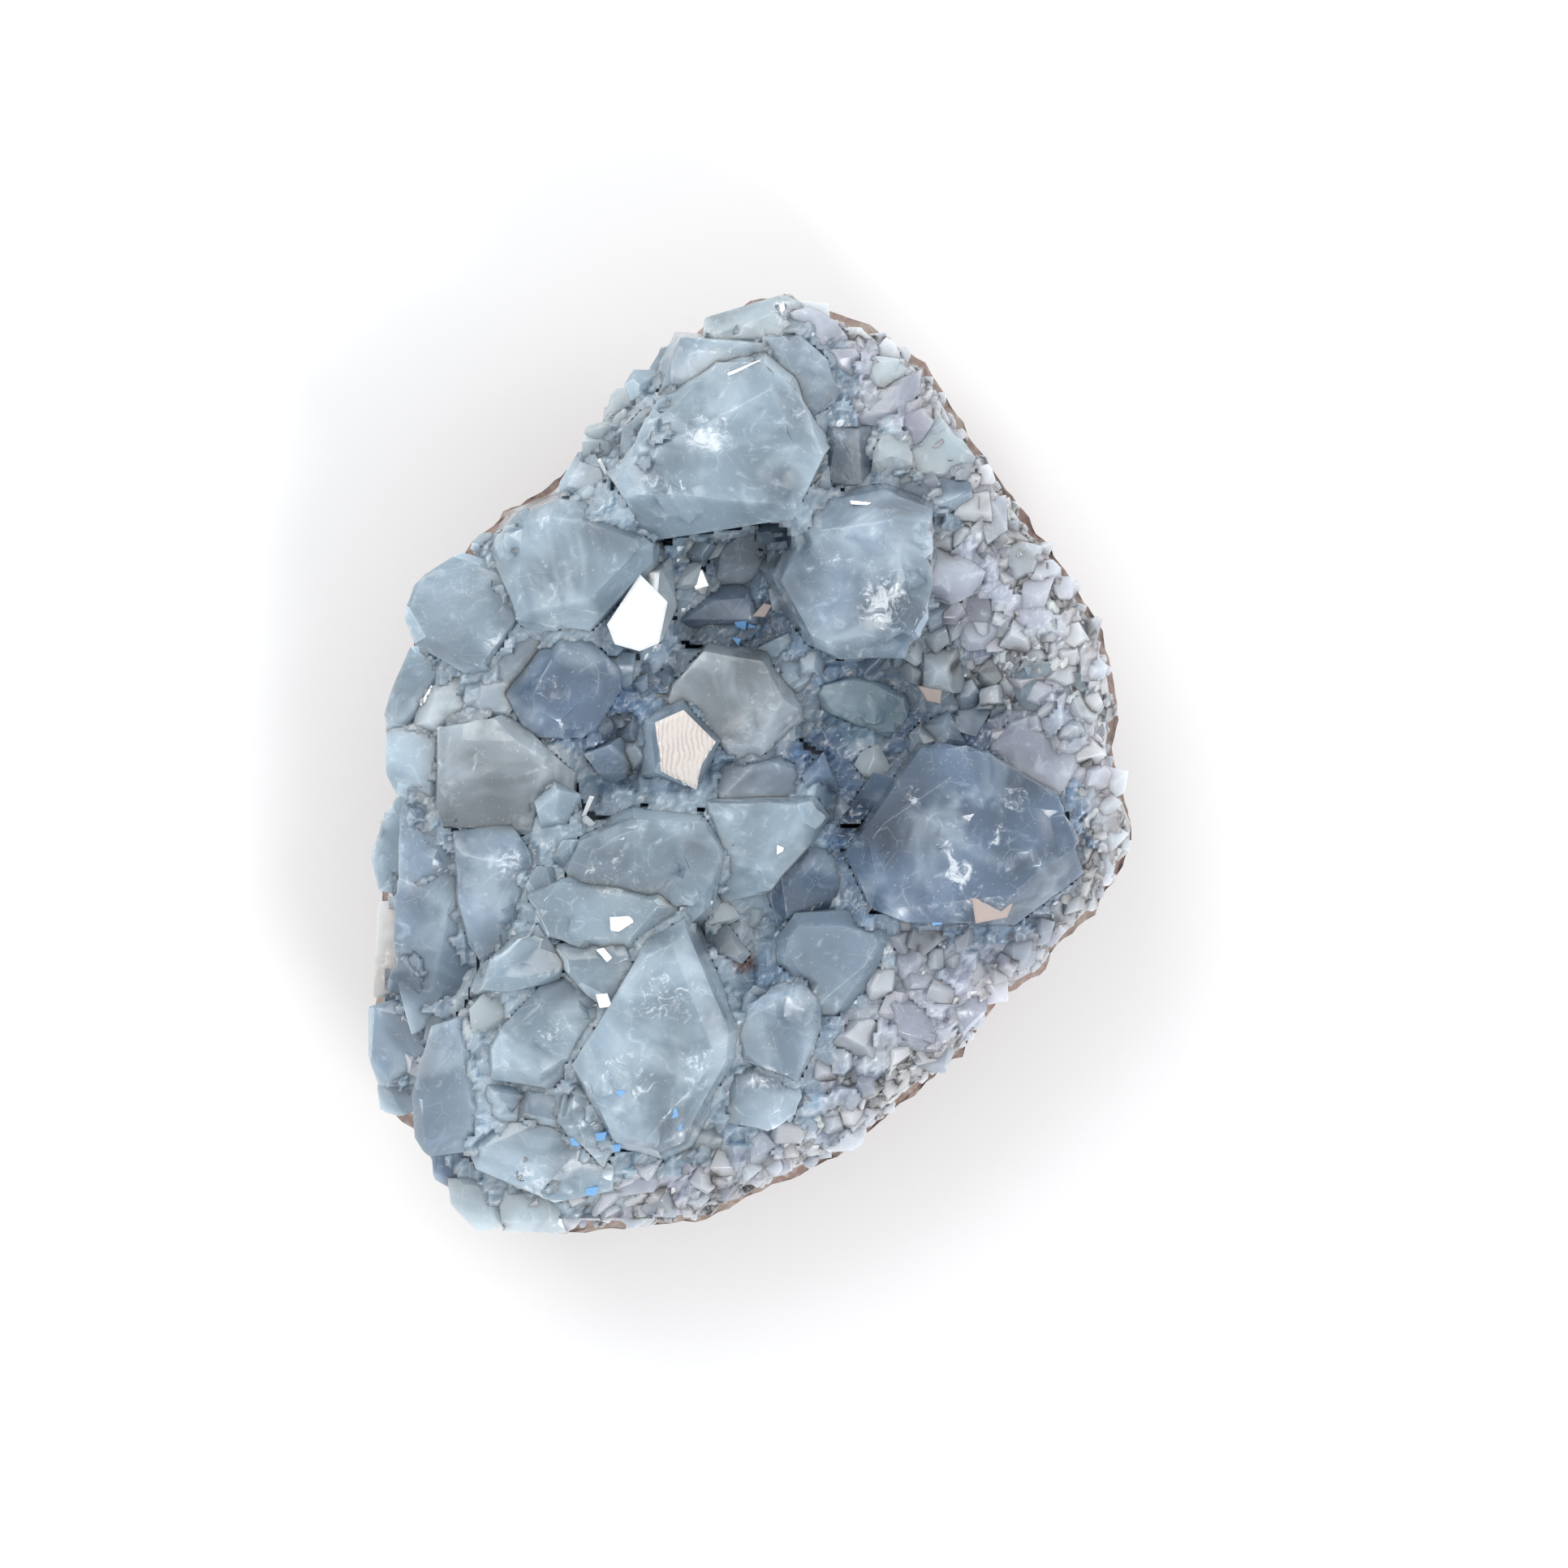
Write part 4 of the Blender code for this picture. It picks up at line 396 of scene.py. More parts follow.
# White clouds of inclusions seen in the large crystals, and darker clear zones:
# place, reach in millimetres and strength, below zero where it is dark.
CLOUDS = (
    (16.5, -3.0, 1.6, 0.9), (19.6, -8.6, 1.6, 0.9), (21.4, -11.2, 2.6, 1.0), (23.0, -13.0, 1.6, 0.7),
    (27.0, -3.6, 2.4, 0.75), (25.4, -7.4, 2.2, 0.6), (29.4, -9.6, 1.8, 0.55), (18.6, 0.2, 2.6, 0.35),
    (26.2, -10.2, 3.6, -0.55), (14.0, -6.5, 3.6, -0.35), (23.4, 0.6, 2.4, -0.35),
    (13.6, 16.2, 4.2, 0.85), (9.4, 20.5, 2.6, 0.5), (15.5, 24.5, 2.6, -0.35), (18.4, 12.6, 2.2, 0.5),
    (-4.4, 33.4, 3.6, 0.8), (-9.5, 28.5, 2.6, 0.5), (1.6, 31.0, 4.5, -0.3), (4.6, 36.5, 3.0, 0.35),
    (3.4, 46.4, 2.6, 0.8), (-1.5, 40.6, 3.4, 0.5), (-4.5, 43.5, 3.2, 0.5),
    (-21.0, -3.0, 2.6, 0.6), (-25.0, 2.0, 2.8, -0.3), (-22.5, 24.0, 4.0, 0.3), (-17.0, 19.0, 3.0, -0.3),
    (-17.5, 10.5, 3.4, -0.35), (-20.5, 8.0, 2.2, 0.5), (-33.5, 14.5, 4.0, 0.25),
    (-13.0, -12.0, 6.5, 0.45), (-24.5, -10.0, 3.0, 0.6), (-7.0, -6.0, 3.4, 0.3), (-28.5, -20.0, 5.0, 0.35),
    (-8.0, -24.0, 5.0, 0.55), (-12.5, -32.0, 4.5, 0.6), (-10.0, -20.0, 3.6, 0.4), (-5.5, -30.5, 3.4, 0.5),
    (-20.0, -28.0, 3.2, 0.45), (-22.4, -42.4, 3.0, 0.7), (-28.0, -30.0, 4.0, 0.3), (-16.0, -38.0, 3.0, 0.5),
    (1.4, -32.0, 2.6, 0.7), (4.6, -24.5, 2.8, -0.3), (9.5, -20.0, 3.6, 0.3), (-0.6, -27.0, 2.4, 0.35),
    (-1.0, -10.0, 2.4, -0.3), (6.0, 2.0, 2.4, -0.3), (-35.0, -6.0, 3.0, 0.35), (-36.5, -20.0, 3.0, 0.35),
)

# Broken patches on the large crystals: place, reach and depth in millimetres.
FRACTURES = (
    (-11.5, 35.0, 6.5, 2.0), (-7.0, 27.5, 4.0, 1.3), (3.5, 35.5, 4.0, 1.0), (15.5, 16.5, 6.0, 2.0),
    (12.0, 22.0, 3.5, 1.1), (3.5, -24.0, 4.5, 1.5), (-21.0, -15.5, 6.0, 1.1), (-13.5, -33.0, 4.0, 1.1),
    (22.0, -6.0, 4.5, 0.8), (-27.5, 8.0, 4.0, 0.9), (8.0, -4.0, 3.5, 1.1), (-34.0, -12.0, 4.5, 0.9),
)

# Where the gaps between the crystals lie in deep shade: place and reach in millimetres.
SHADES = (
    (3.0, 8.0, 15.0), (20.0, 7.0, 9.0), (-9.0, 20.0, 7.0), (9.0, -6.0, 6.0), (-11.0, 4.0, 7.0), (4.0, -24.0, 7.0),
)

# Rust stains in the crust: place and size in millimetres.
RUST = ((-0.6, -20.2, 1.6), (-1.8, -18.8, 0.9), (-2.3, -29.8, 0.8), (5.9, -30.0, 0.8), (-14.7, -16.1, 0.7))

# Small facets painted as the highlights and reflections that glint on the crystals: finish, corners seen from above.
GLINTS = (
    ("white", ((-14.6, 14.3), (-11.2, 19.4), (-8.4, 16.6), (-9.3, 12.4), (-11.3, 11.6), (-13.8, 12.3))),
    ("grown", ((-9.7, 4.3), (-6.8, 5.6), (-3.5, 2.3), (-4.9, -0.2), (-5.5, -2.6), (-9.1, -0.7))),
    ("white", ((-2.3, 39.8), (1.1, 41.2), (1.2, 40.9), (-2.2, 39.5))),
    ("white", ((3.0, 47.2), (3.5, 47.4), (3.8, 45.7), (3.4, 45.5))),
    ("white", ((10.2, 26.9), (12.4, 26.7), (12.3, 26.4), (10.3, 26.5))),
    ("white", ((-6.4, 19.9), (-4.9, 20.1), (-4.2, 18.4), (-5.6, 18.0))),
    ("white", ((-17.3, -5.4), (-16.9, -5.5), (-15.9, -3.3), (-16.4, -3.2))),
    ("white", ((2.8, -8.2), (3.5, -8.5), (3.1, -10.0), (2.7, -10.2))),
    ("white", ((-14.2, -15.5), (-12.2, -15.4), (-11.3, -16.3), (-12.6, -17.2), (-14.1, -16.9))),
    ("white", ((-15.6, -18.8), (-14.8, -18.6), (-13.7, -19.9), (-14.4, -20.2))),
    ("white", ((-15.6, -23.3), (-14.4, -23.2), (-13.9, -24.6), (-15.2, -24.7))),
    ("white", ((-15.6, 31.2), (-15.3, 31.4), (-13.6, 28.0), (-14.0, 27.8))),
    ("white", ((-34.0, 6.1), (-33.7, 6.0), (-32.5, 8.0), (-32.8, 8.2))),
    ("blue", ((-1.8, 15.3), (-0.3, 15.0), (-0.5, 13.7), (-1.5, 13.9))),
    ("blue", ((-0.2, 14.6), (1.0, 14.2), (0.8, 12.3), (-0.3, 12.9))),
    ("blue", ((-1.9, 13.1), (-0.9, 13.0), (-1.2, 12.2))),
    ("peach", ((0.2, 15.3), (1.4, 16.7), (2.3, 16.5), (1.5, 15.2))),
    ("peach", ((22.6, -13.6), (24.8, -13.4), (26.8, -14.2), (26.2, -15.6), (23.0, -16.2))),
    ("peach", ((17.2, 8.1), (19.8, 7.8), (19.6, 6.2), (18.2, 6.5))),
    ("blue", ((18.4, -15.4), (19.8, -15.4), (19.6, -16.3), (18.6, -16.4))),
    ("blue", ((-13.9, -30.6), (-13.0, -30.5), (-13.2, -31.5), (-13.8, -31.4))),
    ("blue", ((-13.5, -33.0), (-12.6, -33.1), (-12.7, -34.0), (-13.3, -33.9))),
    ("blue", ((-8.9, -35.0), (-7.4, -34.8), (-7.2, -35.7), (-8.6, -36.2))),
    ("blue", ((-7.5, -36.2), (-6.7, -36.0), (-6.9, -37.1), (-7.5, -37.2))),
    ("blue", ((-15.8, -37.6), (-14.5, -37.4), (-14.7, -38.3), (-15.6, -38.4))),
    ("blue", ((-14.0, -38.7), (-13.0, -38.6), (-13.2, -39.4), (-13.9, -39.5))),
    ("blue", ((-18.4, -38.1), (-17.1, -38.0), (-17.4, -39.0), (-18.2, -38.9))),
    ("blue", ((-17.2, -43.4), (-15.4, -43.2), (-15.8, -44.2), (-17.0, -44.1))),
    ("blue", ((-20.4, -44.0), (-18.8, -43.7), (-19.0, -44.5), (-20.2, -44.6))),
)

# Colour of each tone, as it looks in daylight, and how hazy it is
TONES = {
    "pale": ((143, 161, 174), 0.62),
    "blue": ((134, 152, 168), 0.52),
    "deep": ((100, 119, 141), 0.35),
    "slate": ((108, 124, 140), 0.4),
    "smoky": ((141, 151, 158), 0.5),
    "lilac": ((160, 165, 180), 0.75),
    "frost": ((176, 190, 198), 0.85),
    "rim_lilac": ((168, 170, 184), 0.85),
    "rim_frost": ((175, 180, 189), 0.9),
    "rim_grey": ((150, 157, 170), 0.75),
    "cream": ((192, 188, 184), 0.75),
    # Paler tint of the crystal whose cap mirrors the window: painted reflection.
    "mirror": ((176, 190, 200), 0.6),
    "plate": ((138, 160, 172), 0.9),
    # Painted blue glint: a small crystal coloured as the blue reflection it shows.
    "vivid": ((104, 152, 200), 0.4),
}


def linear(color):
    """An 0 to 255 screen colour as Blender's linear colour."""
    out = []
    for part in color:
        c = part / 255
        out.append(c / 12.92 if c <= 0.04045 else ((c + 0.055) / 1.055) ** 2.4)
    return tuple(out)


# Shape of the wall


def outline_radius(angle):
    """Distance from the middle to the wall's outline in one direction."""
    ray = Vector((math.cos(angle), math.sin(angle)))
    best = 0.0
    for index, start in enumerate(WALL_OUTLINE):
        a = Vector(start)
        b = Vector(WALL_OUTLINE[(index + 1) % len(WALL_OUTLINE)])
        side = b - a
        bottom = ray.x * side.y - ray.y * side.x
        if abs(bottom) < 1e-9:
            continue
        along = (a.x * side.y - a.y * side.x) / bottom
        share = (a.x * ray.y - a.y * ray.x) / bottom
        if along > 0 and -1e-6 <= share <= 1 + 1e-6:
            best = max(best, along)
    return best


def smooth(low, high, value):
    """Ease from 0 at low to 1 at high."""
    t = min(max((value - low) / (high - low), 0.0), 1.0)
    return t * t * (3 - 2 * t)


def rim_height(angle):
    """The wall stands higher on the right, where its broken edge shows."""
    return RIM_HEIGHT + RIM_RISE * smooth(-0.6, 0.7, math.cos(angle - math.radians(12)))


def wall_top(share, angle):
    """Height of the wall's upper side at a share of the outline's radius."""
    band = BAND_HEIGHT + 2.0 * smooth(-0.35, 0.35, math.cos(angle - math.radians(8)))
    if share > 0.88:
        return band + (rim_height(angle) - band) * smooth(0.88, 1.0, share) ** 1.5
    return HOLLOW_HEIGHT + (band - HOLLOW_HEIGHT) * smooth(0.1, 0.9, share)


def wall_height_at(x, y):
    """Height of the wall's upper side below a point."""
    angle = math.atan2(y, x)
    return wall_top(min(math.hypot(x, y) / outline_radius(angle), 1.0), angle)


def smooth_bowl(share):
    """Shape of the rounded underside, from the flat spot to the rim."""
    t = max(share - FLAT_SHARE, 0.0) / (1 - FLAT_SHARE)
    return 0.3 * t + 0.7 * t ** 3


def grain(x, y, size, seed):
    """Height, 0 to 1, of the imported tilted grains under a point."""
    spot = Vector((x / size, y / size, seed))
    near, cells = noise.voronoi(spot)
    cell = cells[0]
    turn = noise.cell_vector(cell * 13.7 + Vector((seed, 2.1, 5.3)))
    away = spot - cell
    edge = min((near[1] - near[0]) * 3.0, 1.0)
    return 0.5 + 0.45 * turn.z + 0.8 * (turn.x * away.x + turn.y * away.y) - 0.35 * (1 - edge)


# Shape of the crystals


def hull_of(points):
    """Corners of the convex outline around points, anticlockwise."""
    ordered = sorted(set(points))
    lower = []
    upper = []
    for chain, run in ((lower, ordered), (upper, ordered[::-1])):
        for point in run:
            while len(chain) > 1:
                ax, ay = chain[-2]
                bx, by = chain[-1]
                if (bx - ax) * (point[1] - ay) - (by - ay) * (point[0] - ax) > 0:
                    break
                chain.pop()
            chain.append(point)
    return lower[:-1] + upper[:-1]


def simplified(corners, most):
    """Drop the least telling corners until only most are left."""
    corners = list(corners)
    while len(corners) > most:
        areas = []
        for index, corner in enumerate(corners):
            before = corners[index - 1]
            after = corners[(index + 1) % len(corners)]
            area = (corner[0] - before[0]) * (after[1] - before[1])
            area -= (corner[1] - before[1]) * (after[0] - before[0])
            areas.append((abs(area), index))
        corners.pop(min(areas)[1])
    return corners


def tilted(azimuth, slope):
    """Unit vector that leans from straight up by slope degrees."""
    a = math.radians(azimuth)
    s = math.radians(slope)
    return Vector((math.sin(s) * math.cos(a), math.sin(s) * math.sin(a), math.cos(s)))


def crystal_planes(top, outline, tilt=(0, 0), bevel=(1.2, 48), flare=5, lean=(0, 0), cuts=(), root=None):
    """Planes that bound one crystal: cap, chamfers, walls, root and cuts."""
    corners = simplified(hull_of(outline), MOST_SIDES)
    middle = Vector((sum(c[0] for c in corners), sum(c[1] for c in corners))) / len(corners)
    cap_point = Vector((middle.x, middle.y, top))
    cap_normal = tilted(*tilt)
    axis = tilted(*lean)
    rng = random.Random(int(middle.x * 31 + middle.y * 57 + top * 7))
    planes = [(cap_point, cap_normal)]
    for index, corner in enumerate(corners):
        after = corners[(index + 1) % len(corners)]
        side = Vector((after[0] - corner[0], after[1] - corner[1]))
        if side.length < 0.5:
            continue
        outward = Vector((side.y, -side.x, 0)).normalized()
        centre = Vector(((corner[0] + after[0]) / 2, (corner[1] + after[1]) / 2, 0))
        rise = -(cap_normal.x * (centre.x - middle.x) + cap_normal.y * (centre.y - middle.y))
        centre.z = top + rise / cap_normal.z
        along = Vector((side.x, side.y, 0)).normalized()
        wall = along.cross(axis).normalized()
        if wall.dot(outward) < 0:
            wall.negate()
        wall = (wall + Vector((0, 0, math.tan(math.radians(flare))))).normalized()
        planes.append((centre, wall))
        width = bevel[0] * rng.choice((0.25, 0.4, 0.7, 1.0, 1.5, 2.0))
        slope = math.radians(bevel[1] + rng.uniform(-12, 12))
        inner = centre - outward * width
        drop = cap_normal.x * (inner.x - middle.x) + cap_normal.y * (inner.y - middle.y)
        inner.z = top - drop / cap_normal.z
        planes.append((inner, outward * math.sin(slope) + Vector((0, 0, math.cos(slope)))))
    for azimuth, slope, reach in cuts:
        a = math.radians(azimuth)
        point = cap_point + Vector((reach * math.cos(a), reach * math.sin(a), 0))
        planes.append((point, tilted(azimuth, slope)))
    foot = wall_height_at(middle.x, middle.y) - 2.5 if root is None else root
    planes.append((Vector((middle.x, middle.y, foot)), -axis))
    return planes


def convex_body(planes, merge=0.05):
    """Corners of the solid that lies inside every plane."""
    bm = bmesh.new()
    bmesh.ops.create_cube(bm, size=150)
    for point, normal in planes:
        everything = bm.verts[:] + bm.edges[:] + bm.faces[:]
        bmesh.ops.bisect_plane(
            bm, geom=everything, dist=0.0005, plane_co=point, plane_no=normal, clear_outer=True
        )
        rim = [edge for edge in bm.edges if edge.is_boundary]
        if rim:
            bmesh.ops.contextual_create(bm, geom=rim)
    bmesh.ops.remove_doubles(bm, verts=bm.verts, dist=merge)
    corners = [vert.co.copy() for vert in bm.verts]
    bm.free()
    return corners


def chipped(planes, rng, count, deep):
    """Take a few small corners off a crystal."""
    corners = convex_body(planes)
    extra = []
    for _ in range(count):
        normal = tilted(rng.uniform(0, 360), rng.uniform(28, 62))
        far = max(corners, key=lambda corner: corner.dot(normal))
        extra.append((far - normal * rng.uniform(0.3, 1.0) * deep, normal))
    return planes + extra


def clouds_at(point):
    """How white and how dark the inclusions are at a point, 0 to 1 each."""
    white = 0.0
    dark = 0.0
    for x, y, reach, strength in CLOUDS:
        near = 1.0 - smooth(0.35 * reach, reach, math.dist((x, y), point[:2]))
        if strength > 0:
            white = max(white, near * strength)
        else:
            dark = max(dark, -near * strength)
    return white, dark


def steps_at(point, size, seed):
    """Height, about -0.5 to 0.5, of a mosaic of small tilted planes at a point."""
    place = point / size + Vector((seed, 0.0, 0.0))
    nearest = noise.voronoi(place)[1][0]
    lean = noise.cell_vector(nearest * 97.3) - Vector((0.5, 0.5, 0.5))
    return (place - nearest).dot(lean) + 0.5 * lean.x


def fracture_at(point):
    """How deep the broken patches are at a point, in millimetres."""
    depth = 0.0
    for x, y, reach, most in FRACTURES:
        depth = max(depth, most * (1.0 - smooth(0.55 * reach, reach, math.dist((x, y), point[:2]))))
    return depth


def break_faces(part, fine, rough, rng):
    """Divide the faces of a crystal and break them into small steps."""
    top = max(vert.co.z for vert in part.verts)
    depth = part.faces.layers.float.new("depth")
    for face in part.faces:
        face[depth] = rough * rng.choice((0.1, 0.3, 0.6, 1.0))
    turn = rng.uniform(0, math.pi / 2)
    for across, step in (
        (Vector((math.cos(turn), math.sin(turn), 0)), fine),
        (Vector((-math.sin(turn), math.cos(turn), 0)), fine),
        (Vector((0, 0, 1)), 1.6 * fine),
    ):
        reaches = [vert.co.dot(across) for vert in part.verts]
        low = max(min(reaches), top - 9) if across.z else min(reaches)
        count = int((max(reaches) - low) / step)
        for cut in range(1, count):
            at = low + (max(reaches) - low) * cut / count
            everything = part.verts[:] + part.edges[:] + part.faces[:]
            bmesh.ops.bisect_plane(part, geom=everything, dist=0.001, plane_co=across * at, plane_no=across)
    part.normal_update()
    seed = rng.uniform(0, 50)
    moves = []
    for vert in part.verts:
        if vert.co.z < top - 10:
            continue
        most = min(face[depth] for face in vert.link_faces)
        patch = smooth(-0.05, 0.35, noise.noise(vert.co * 0.17 + Vector((seed, 0, 0))))
        patch = max(patch, 0.9 * clouds_at(vert.co)[0])
        step = steps_at(vert.co, 3.8, seed) + 0.4 * steps_at(vert.co, 1.5, seed + 9)
        broken = steps_at(vert.co, 3.1, seed + 4) * fracture_at(vert.co)
        moves.append((vert, vert.normal * (step * most * patch + broken)))
    for vert, move in moves:
        vert.co += move
    bmesh.ops.triangulate(part, faces=part.faces[:])


class Cluster:
    """Crystals gathered in one mesh, each with its own tone."""

    def __init__(self):
        self.bm = bmesh.new()
        self.tint = self.bm.verts.layers.float_color.new("tint")
        self.haze = self.bm.verts.layers.float.new("haze")
        self.cloud = self.bm.verts.layers.float.new("cloud")

    def add(self, corners, tone, edge, rng, spread=0.05, fine=0.0, rough=0.0, frosted=0.12):
        """Add the convex crystal around corners, its edges bevelled by edge millimetres of wear.

        With fine, its upper faces are divided to that length in millimetres and
        broken into small steps up to rough deep.
        """
        part = bmesh.new()
        for corner in corners:
            part.verts.new(corner)
        result = bmesh.ops.convex_hull(part, input=part.verts[:])
        loose = [item for item in result["geom_interior"] if isinstance(item, bmesh.types.BMVert)]
        bmesh.ops.delete(part, geom=loose, context="VERTS")
        bmesh.ops.dissolve_limit(part, angle_limit=math.radians(0.6), verts=part.verts, edges=part.edges)
        bmesh.ops.recalc_face_normals(part, faces=part.faces)
        for face in part.faces:
            side = face.normal.z < 0.85 or len(part.faces) < 9
            face.material_index = 1 if rng.random() < frosted and side else 0
        # Marks the bevelled edges, painted lighter and milkier below: partly wear, partly a painted highlight.
        worn_sheen = part.verts.layers.float.new("worn_sheen")
        if edge:
            result = bmesh.ops.bevel(
                part, geom=part.edges[:], offset=edge, segments=2 if fine else 1, profile=0.5,
                affect="EDGES", clamp_overlap=True,
            )
            for vert in result["verts"]:
                vert[worn_sheen] = 1.0
        if fine:
            break_faces(part, fine, rough, rng)
        color, haze = TONES[tone]
        shade = 1.0 + rng.uniform(-spread, spread)
        color = Vector(linear(color)) * shade
        haze = min(max(haze + rng.uniform(-0.08, 0.08), 0.0), 1.0)
        seed = Vector((rng.uniform(0, 90), 0.0, 0.0))
        top = max(vert.co.z for vert in part.verts)
        copies = {}
        for vert in part.verts:
            copy = self.bm.verts.new(vert.co)
            cloud = noise.fractal(vert.co * 0.16 + seed, 1.0, 2.0, 2)
            deep = smooth(1.0, 9.0, top - vert.co.z)
            white, dark = clouds_at(vert.co) if fine else (0.0, 0.0)
            # Darker towards the crystal's foot: painted shade. Lighter on the bevelled edges: partly wear, partly a
            # painted highlight.
            here = color * (1.0 + 0.35 * cloud - 0.2 * deep + 0.28 * vert[worn_sheen]) * (1.0 - 0.45 * dark)
            copy[self.tint] = (*here, 1.0)
            copy[self.cloud] = white
            copy[self.haze] = min(max(haze + 0.5 * cloud + 0.3 * vert[worn_sheen], 0.0), 1.0)
            copies[vert] = copy
        for face in part.faces:
            around = [copies[vert] for vert in face.verts]
            if self.bm.faces.get(around) is None:
                new = self.bm.faces.new(around)
                new.material_index = face.material_index
                new.smooth = True
        for side in part.edges:
            if not side.is_manifold or side.calc_face_angle() > SHARP:
                new = self.bm.edges.get([copies[vert] for vert in side.verts])
                if new:
                    new.smooth = False
        part.free()

    def object(self, name, materials):
        """Make the object, in metres."""
        bmesh.ops.scale(self.bm, vec=(MM, MM, MM), verts=self.bm.verts)
        return make_object(name, self.bm, materials)


def make_object(name, bm, materials):
    """Link a mesh to the scene as one named object."""
    mesh = bpy.data.meshes.new(name)
    bm.to_mesh(mesh)
    bm.free()
    body = bpy.data.objects.new(name, mesh)
    bpy.context.scene.collection.objects.link(body)
    for material in materials:
        mesh.materials.append(material)
    return body


# Shader maths


class Value:
    """A number in a shader, for use in Python sums."""

    def __init__(self, shader, socket):
        self.shader = shader
        self.socket = socket

    def math(self, operation, first, second):
        return self.shader.node("ShaderNodeMath", {"operation": operation}, {0: first, 1: second})

    def __add__(self, other):
        return self.math("ADD", self, other)

    def __radd__(self, other):
        return self.math("ADD", other, self)

    def __sub__(self, other):
        return self.math("SUBTRACT", self, other)

    def __rsub__(self, other):
        return self.math("SUBTRACT", other, self)

    def __mul__(self, other):
        return self.math("MULTIPLY", self, other)

    def __rmul__(self, other):
        return self.math("MULTIPLY", other, self)

    def __pow__(self, other):
        return self.math("POWER", self, other)

    def ease(self, low, high):
        """Ease from 0 at low to 1 at high."""
        return self.shader.node(
            "ShaderNodeMapRange", {"interpolation_type": "SMOOTHSTEP"},
            {"Value": self, "From Min": low, "From Max": high}, "Result",
        )


class Shader:
    """A material's node tree, built from Python."""

    def __init__(self, name):
        self.material = bpy.data.materials.new(name)
        self.material.use_nodes = True
        self.tree = self.material.node_tree
        self.tree.nodes.clear()
        self.output = self.tree.nodes.new("ShaderNodeOutputMaterial")
        place = self.node("ShaderNodeTexCoord", {}, {}, "Object")
        self.place = self.node("ShaderNodeVectorMath", {"operation": "SCALE"}, {0: place, "Scale": 1000.0})

    def node(self, kind, settings, inputs, output=0):
        """Add a node: settings first, then values or links of its sockets."""
        made = self.tree.nodes.new(kind)
        for key, value in settings.items():
            if key == "stops":
                ramp = made.color_ramp
                while len(ramp.elements) < len(value):
                    ramp.elements.new(0.5)
                for element, (spot, color) in zip(ramp.elements, value):
                    element.position = spot
                    element.color = color
            else:
                setattr(made, key, value)
        for key, value in inputs.items():
            socket = made.inputs[key]
            if isinstance(value, Value):
                self.tree.links.new(value.socket, socket)
            elif isinstance(value, bpy.types.NodeSocket):
                self.tree.links.new(value, socket)
            else:
                socket.default_value = value
        return Value(self, made.outputs[output])

    def noise(self, scale, detail=3.0, rough=0.55, warp=0.0, place=None):
        """Cloudy noise with features of about one over scale millimetres."""
        return self.node(
            "ShaderNodeTexNoise", {},
            {"Vector": place or self.place, "Scale": scale, "Detail": detail, "Roughness": rough, "Distortion": warp},
        )

    def cells(self, scale, feature="F1"):
        """Packed cells of about one over scale millimetres."""
        return self.node("ShaderNodeTexVoronoi", {"feature": feature}, {"Vector": self.place, "Scale": scale})

    def mix(self, factor, first, second):
        """Blend two colours."""
        return self.node(
            "ShaderNodeMix", {"data_type": "RGBA"}, {0: factor, 6: paint(first), 7: paint(second)}, 2
        )

    def attribute(self, name, output):
        return self.node("ShaderNodeAttribute", {"attribute_name": name}, {}, output)

    def bump(self, height, strength, distance):
        return self.node(
            "ShaderNodeBump", {}, {"Height": height, "Strength": strength, "Distance": distance}, "Normal"
        )

    def principled(self, **inputs):
        """A Principled shader; keys are socket names with _ for spaces."""
        return self.node(
            "ShaderNodeBsdfPrincipled", {}, {key.replace("_", " "): value for key, value in inputs.items()}
        )

    def finish(self, surface, volume=None):
        self.tree.links.new(surface.socket, self.output.inputs["Surface"])
        if volume:
            self.tree.links.new(volume.socket, self.output.inputs["Volume"])
        return self.material


def paint(color):
    """A colour value or link for a colour socket."""
    if isinstance(color, Value):
        return color
    return (*color, 1.0) if len(color) == 3 else color


def settings():
    return bpy.context.scene.celestite


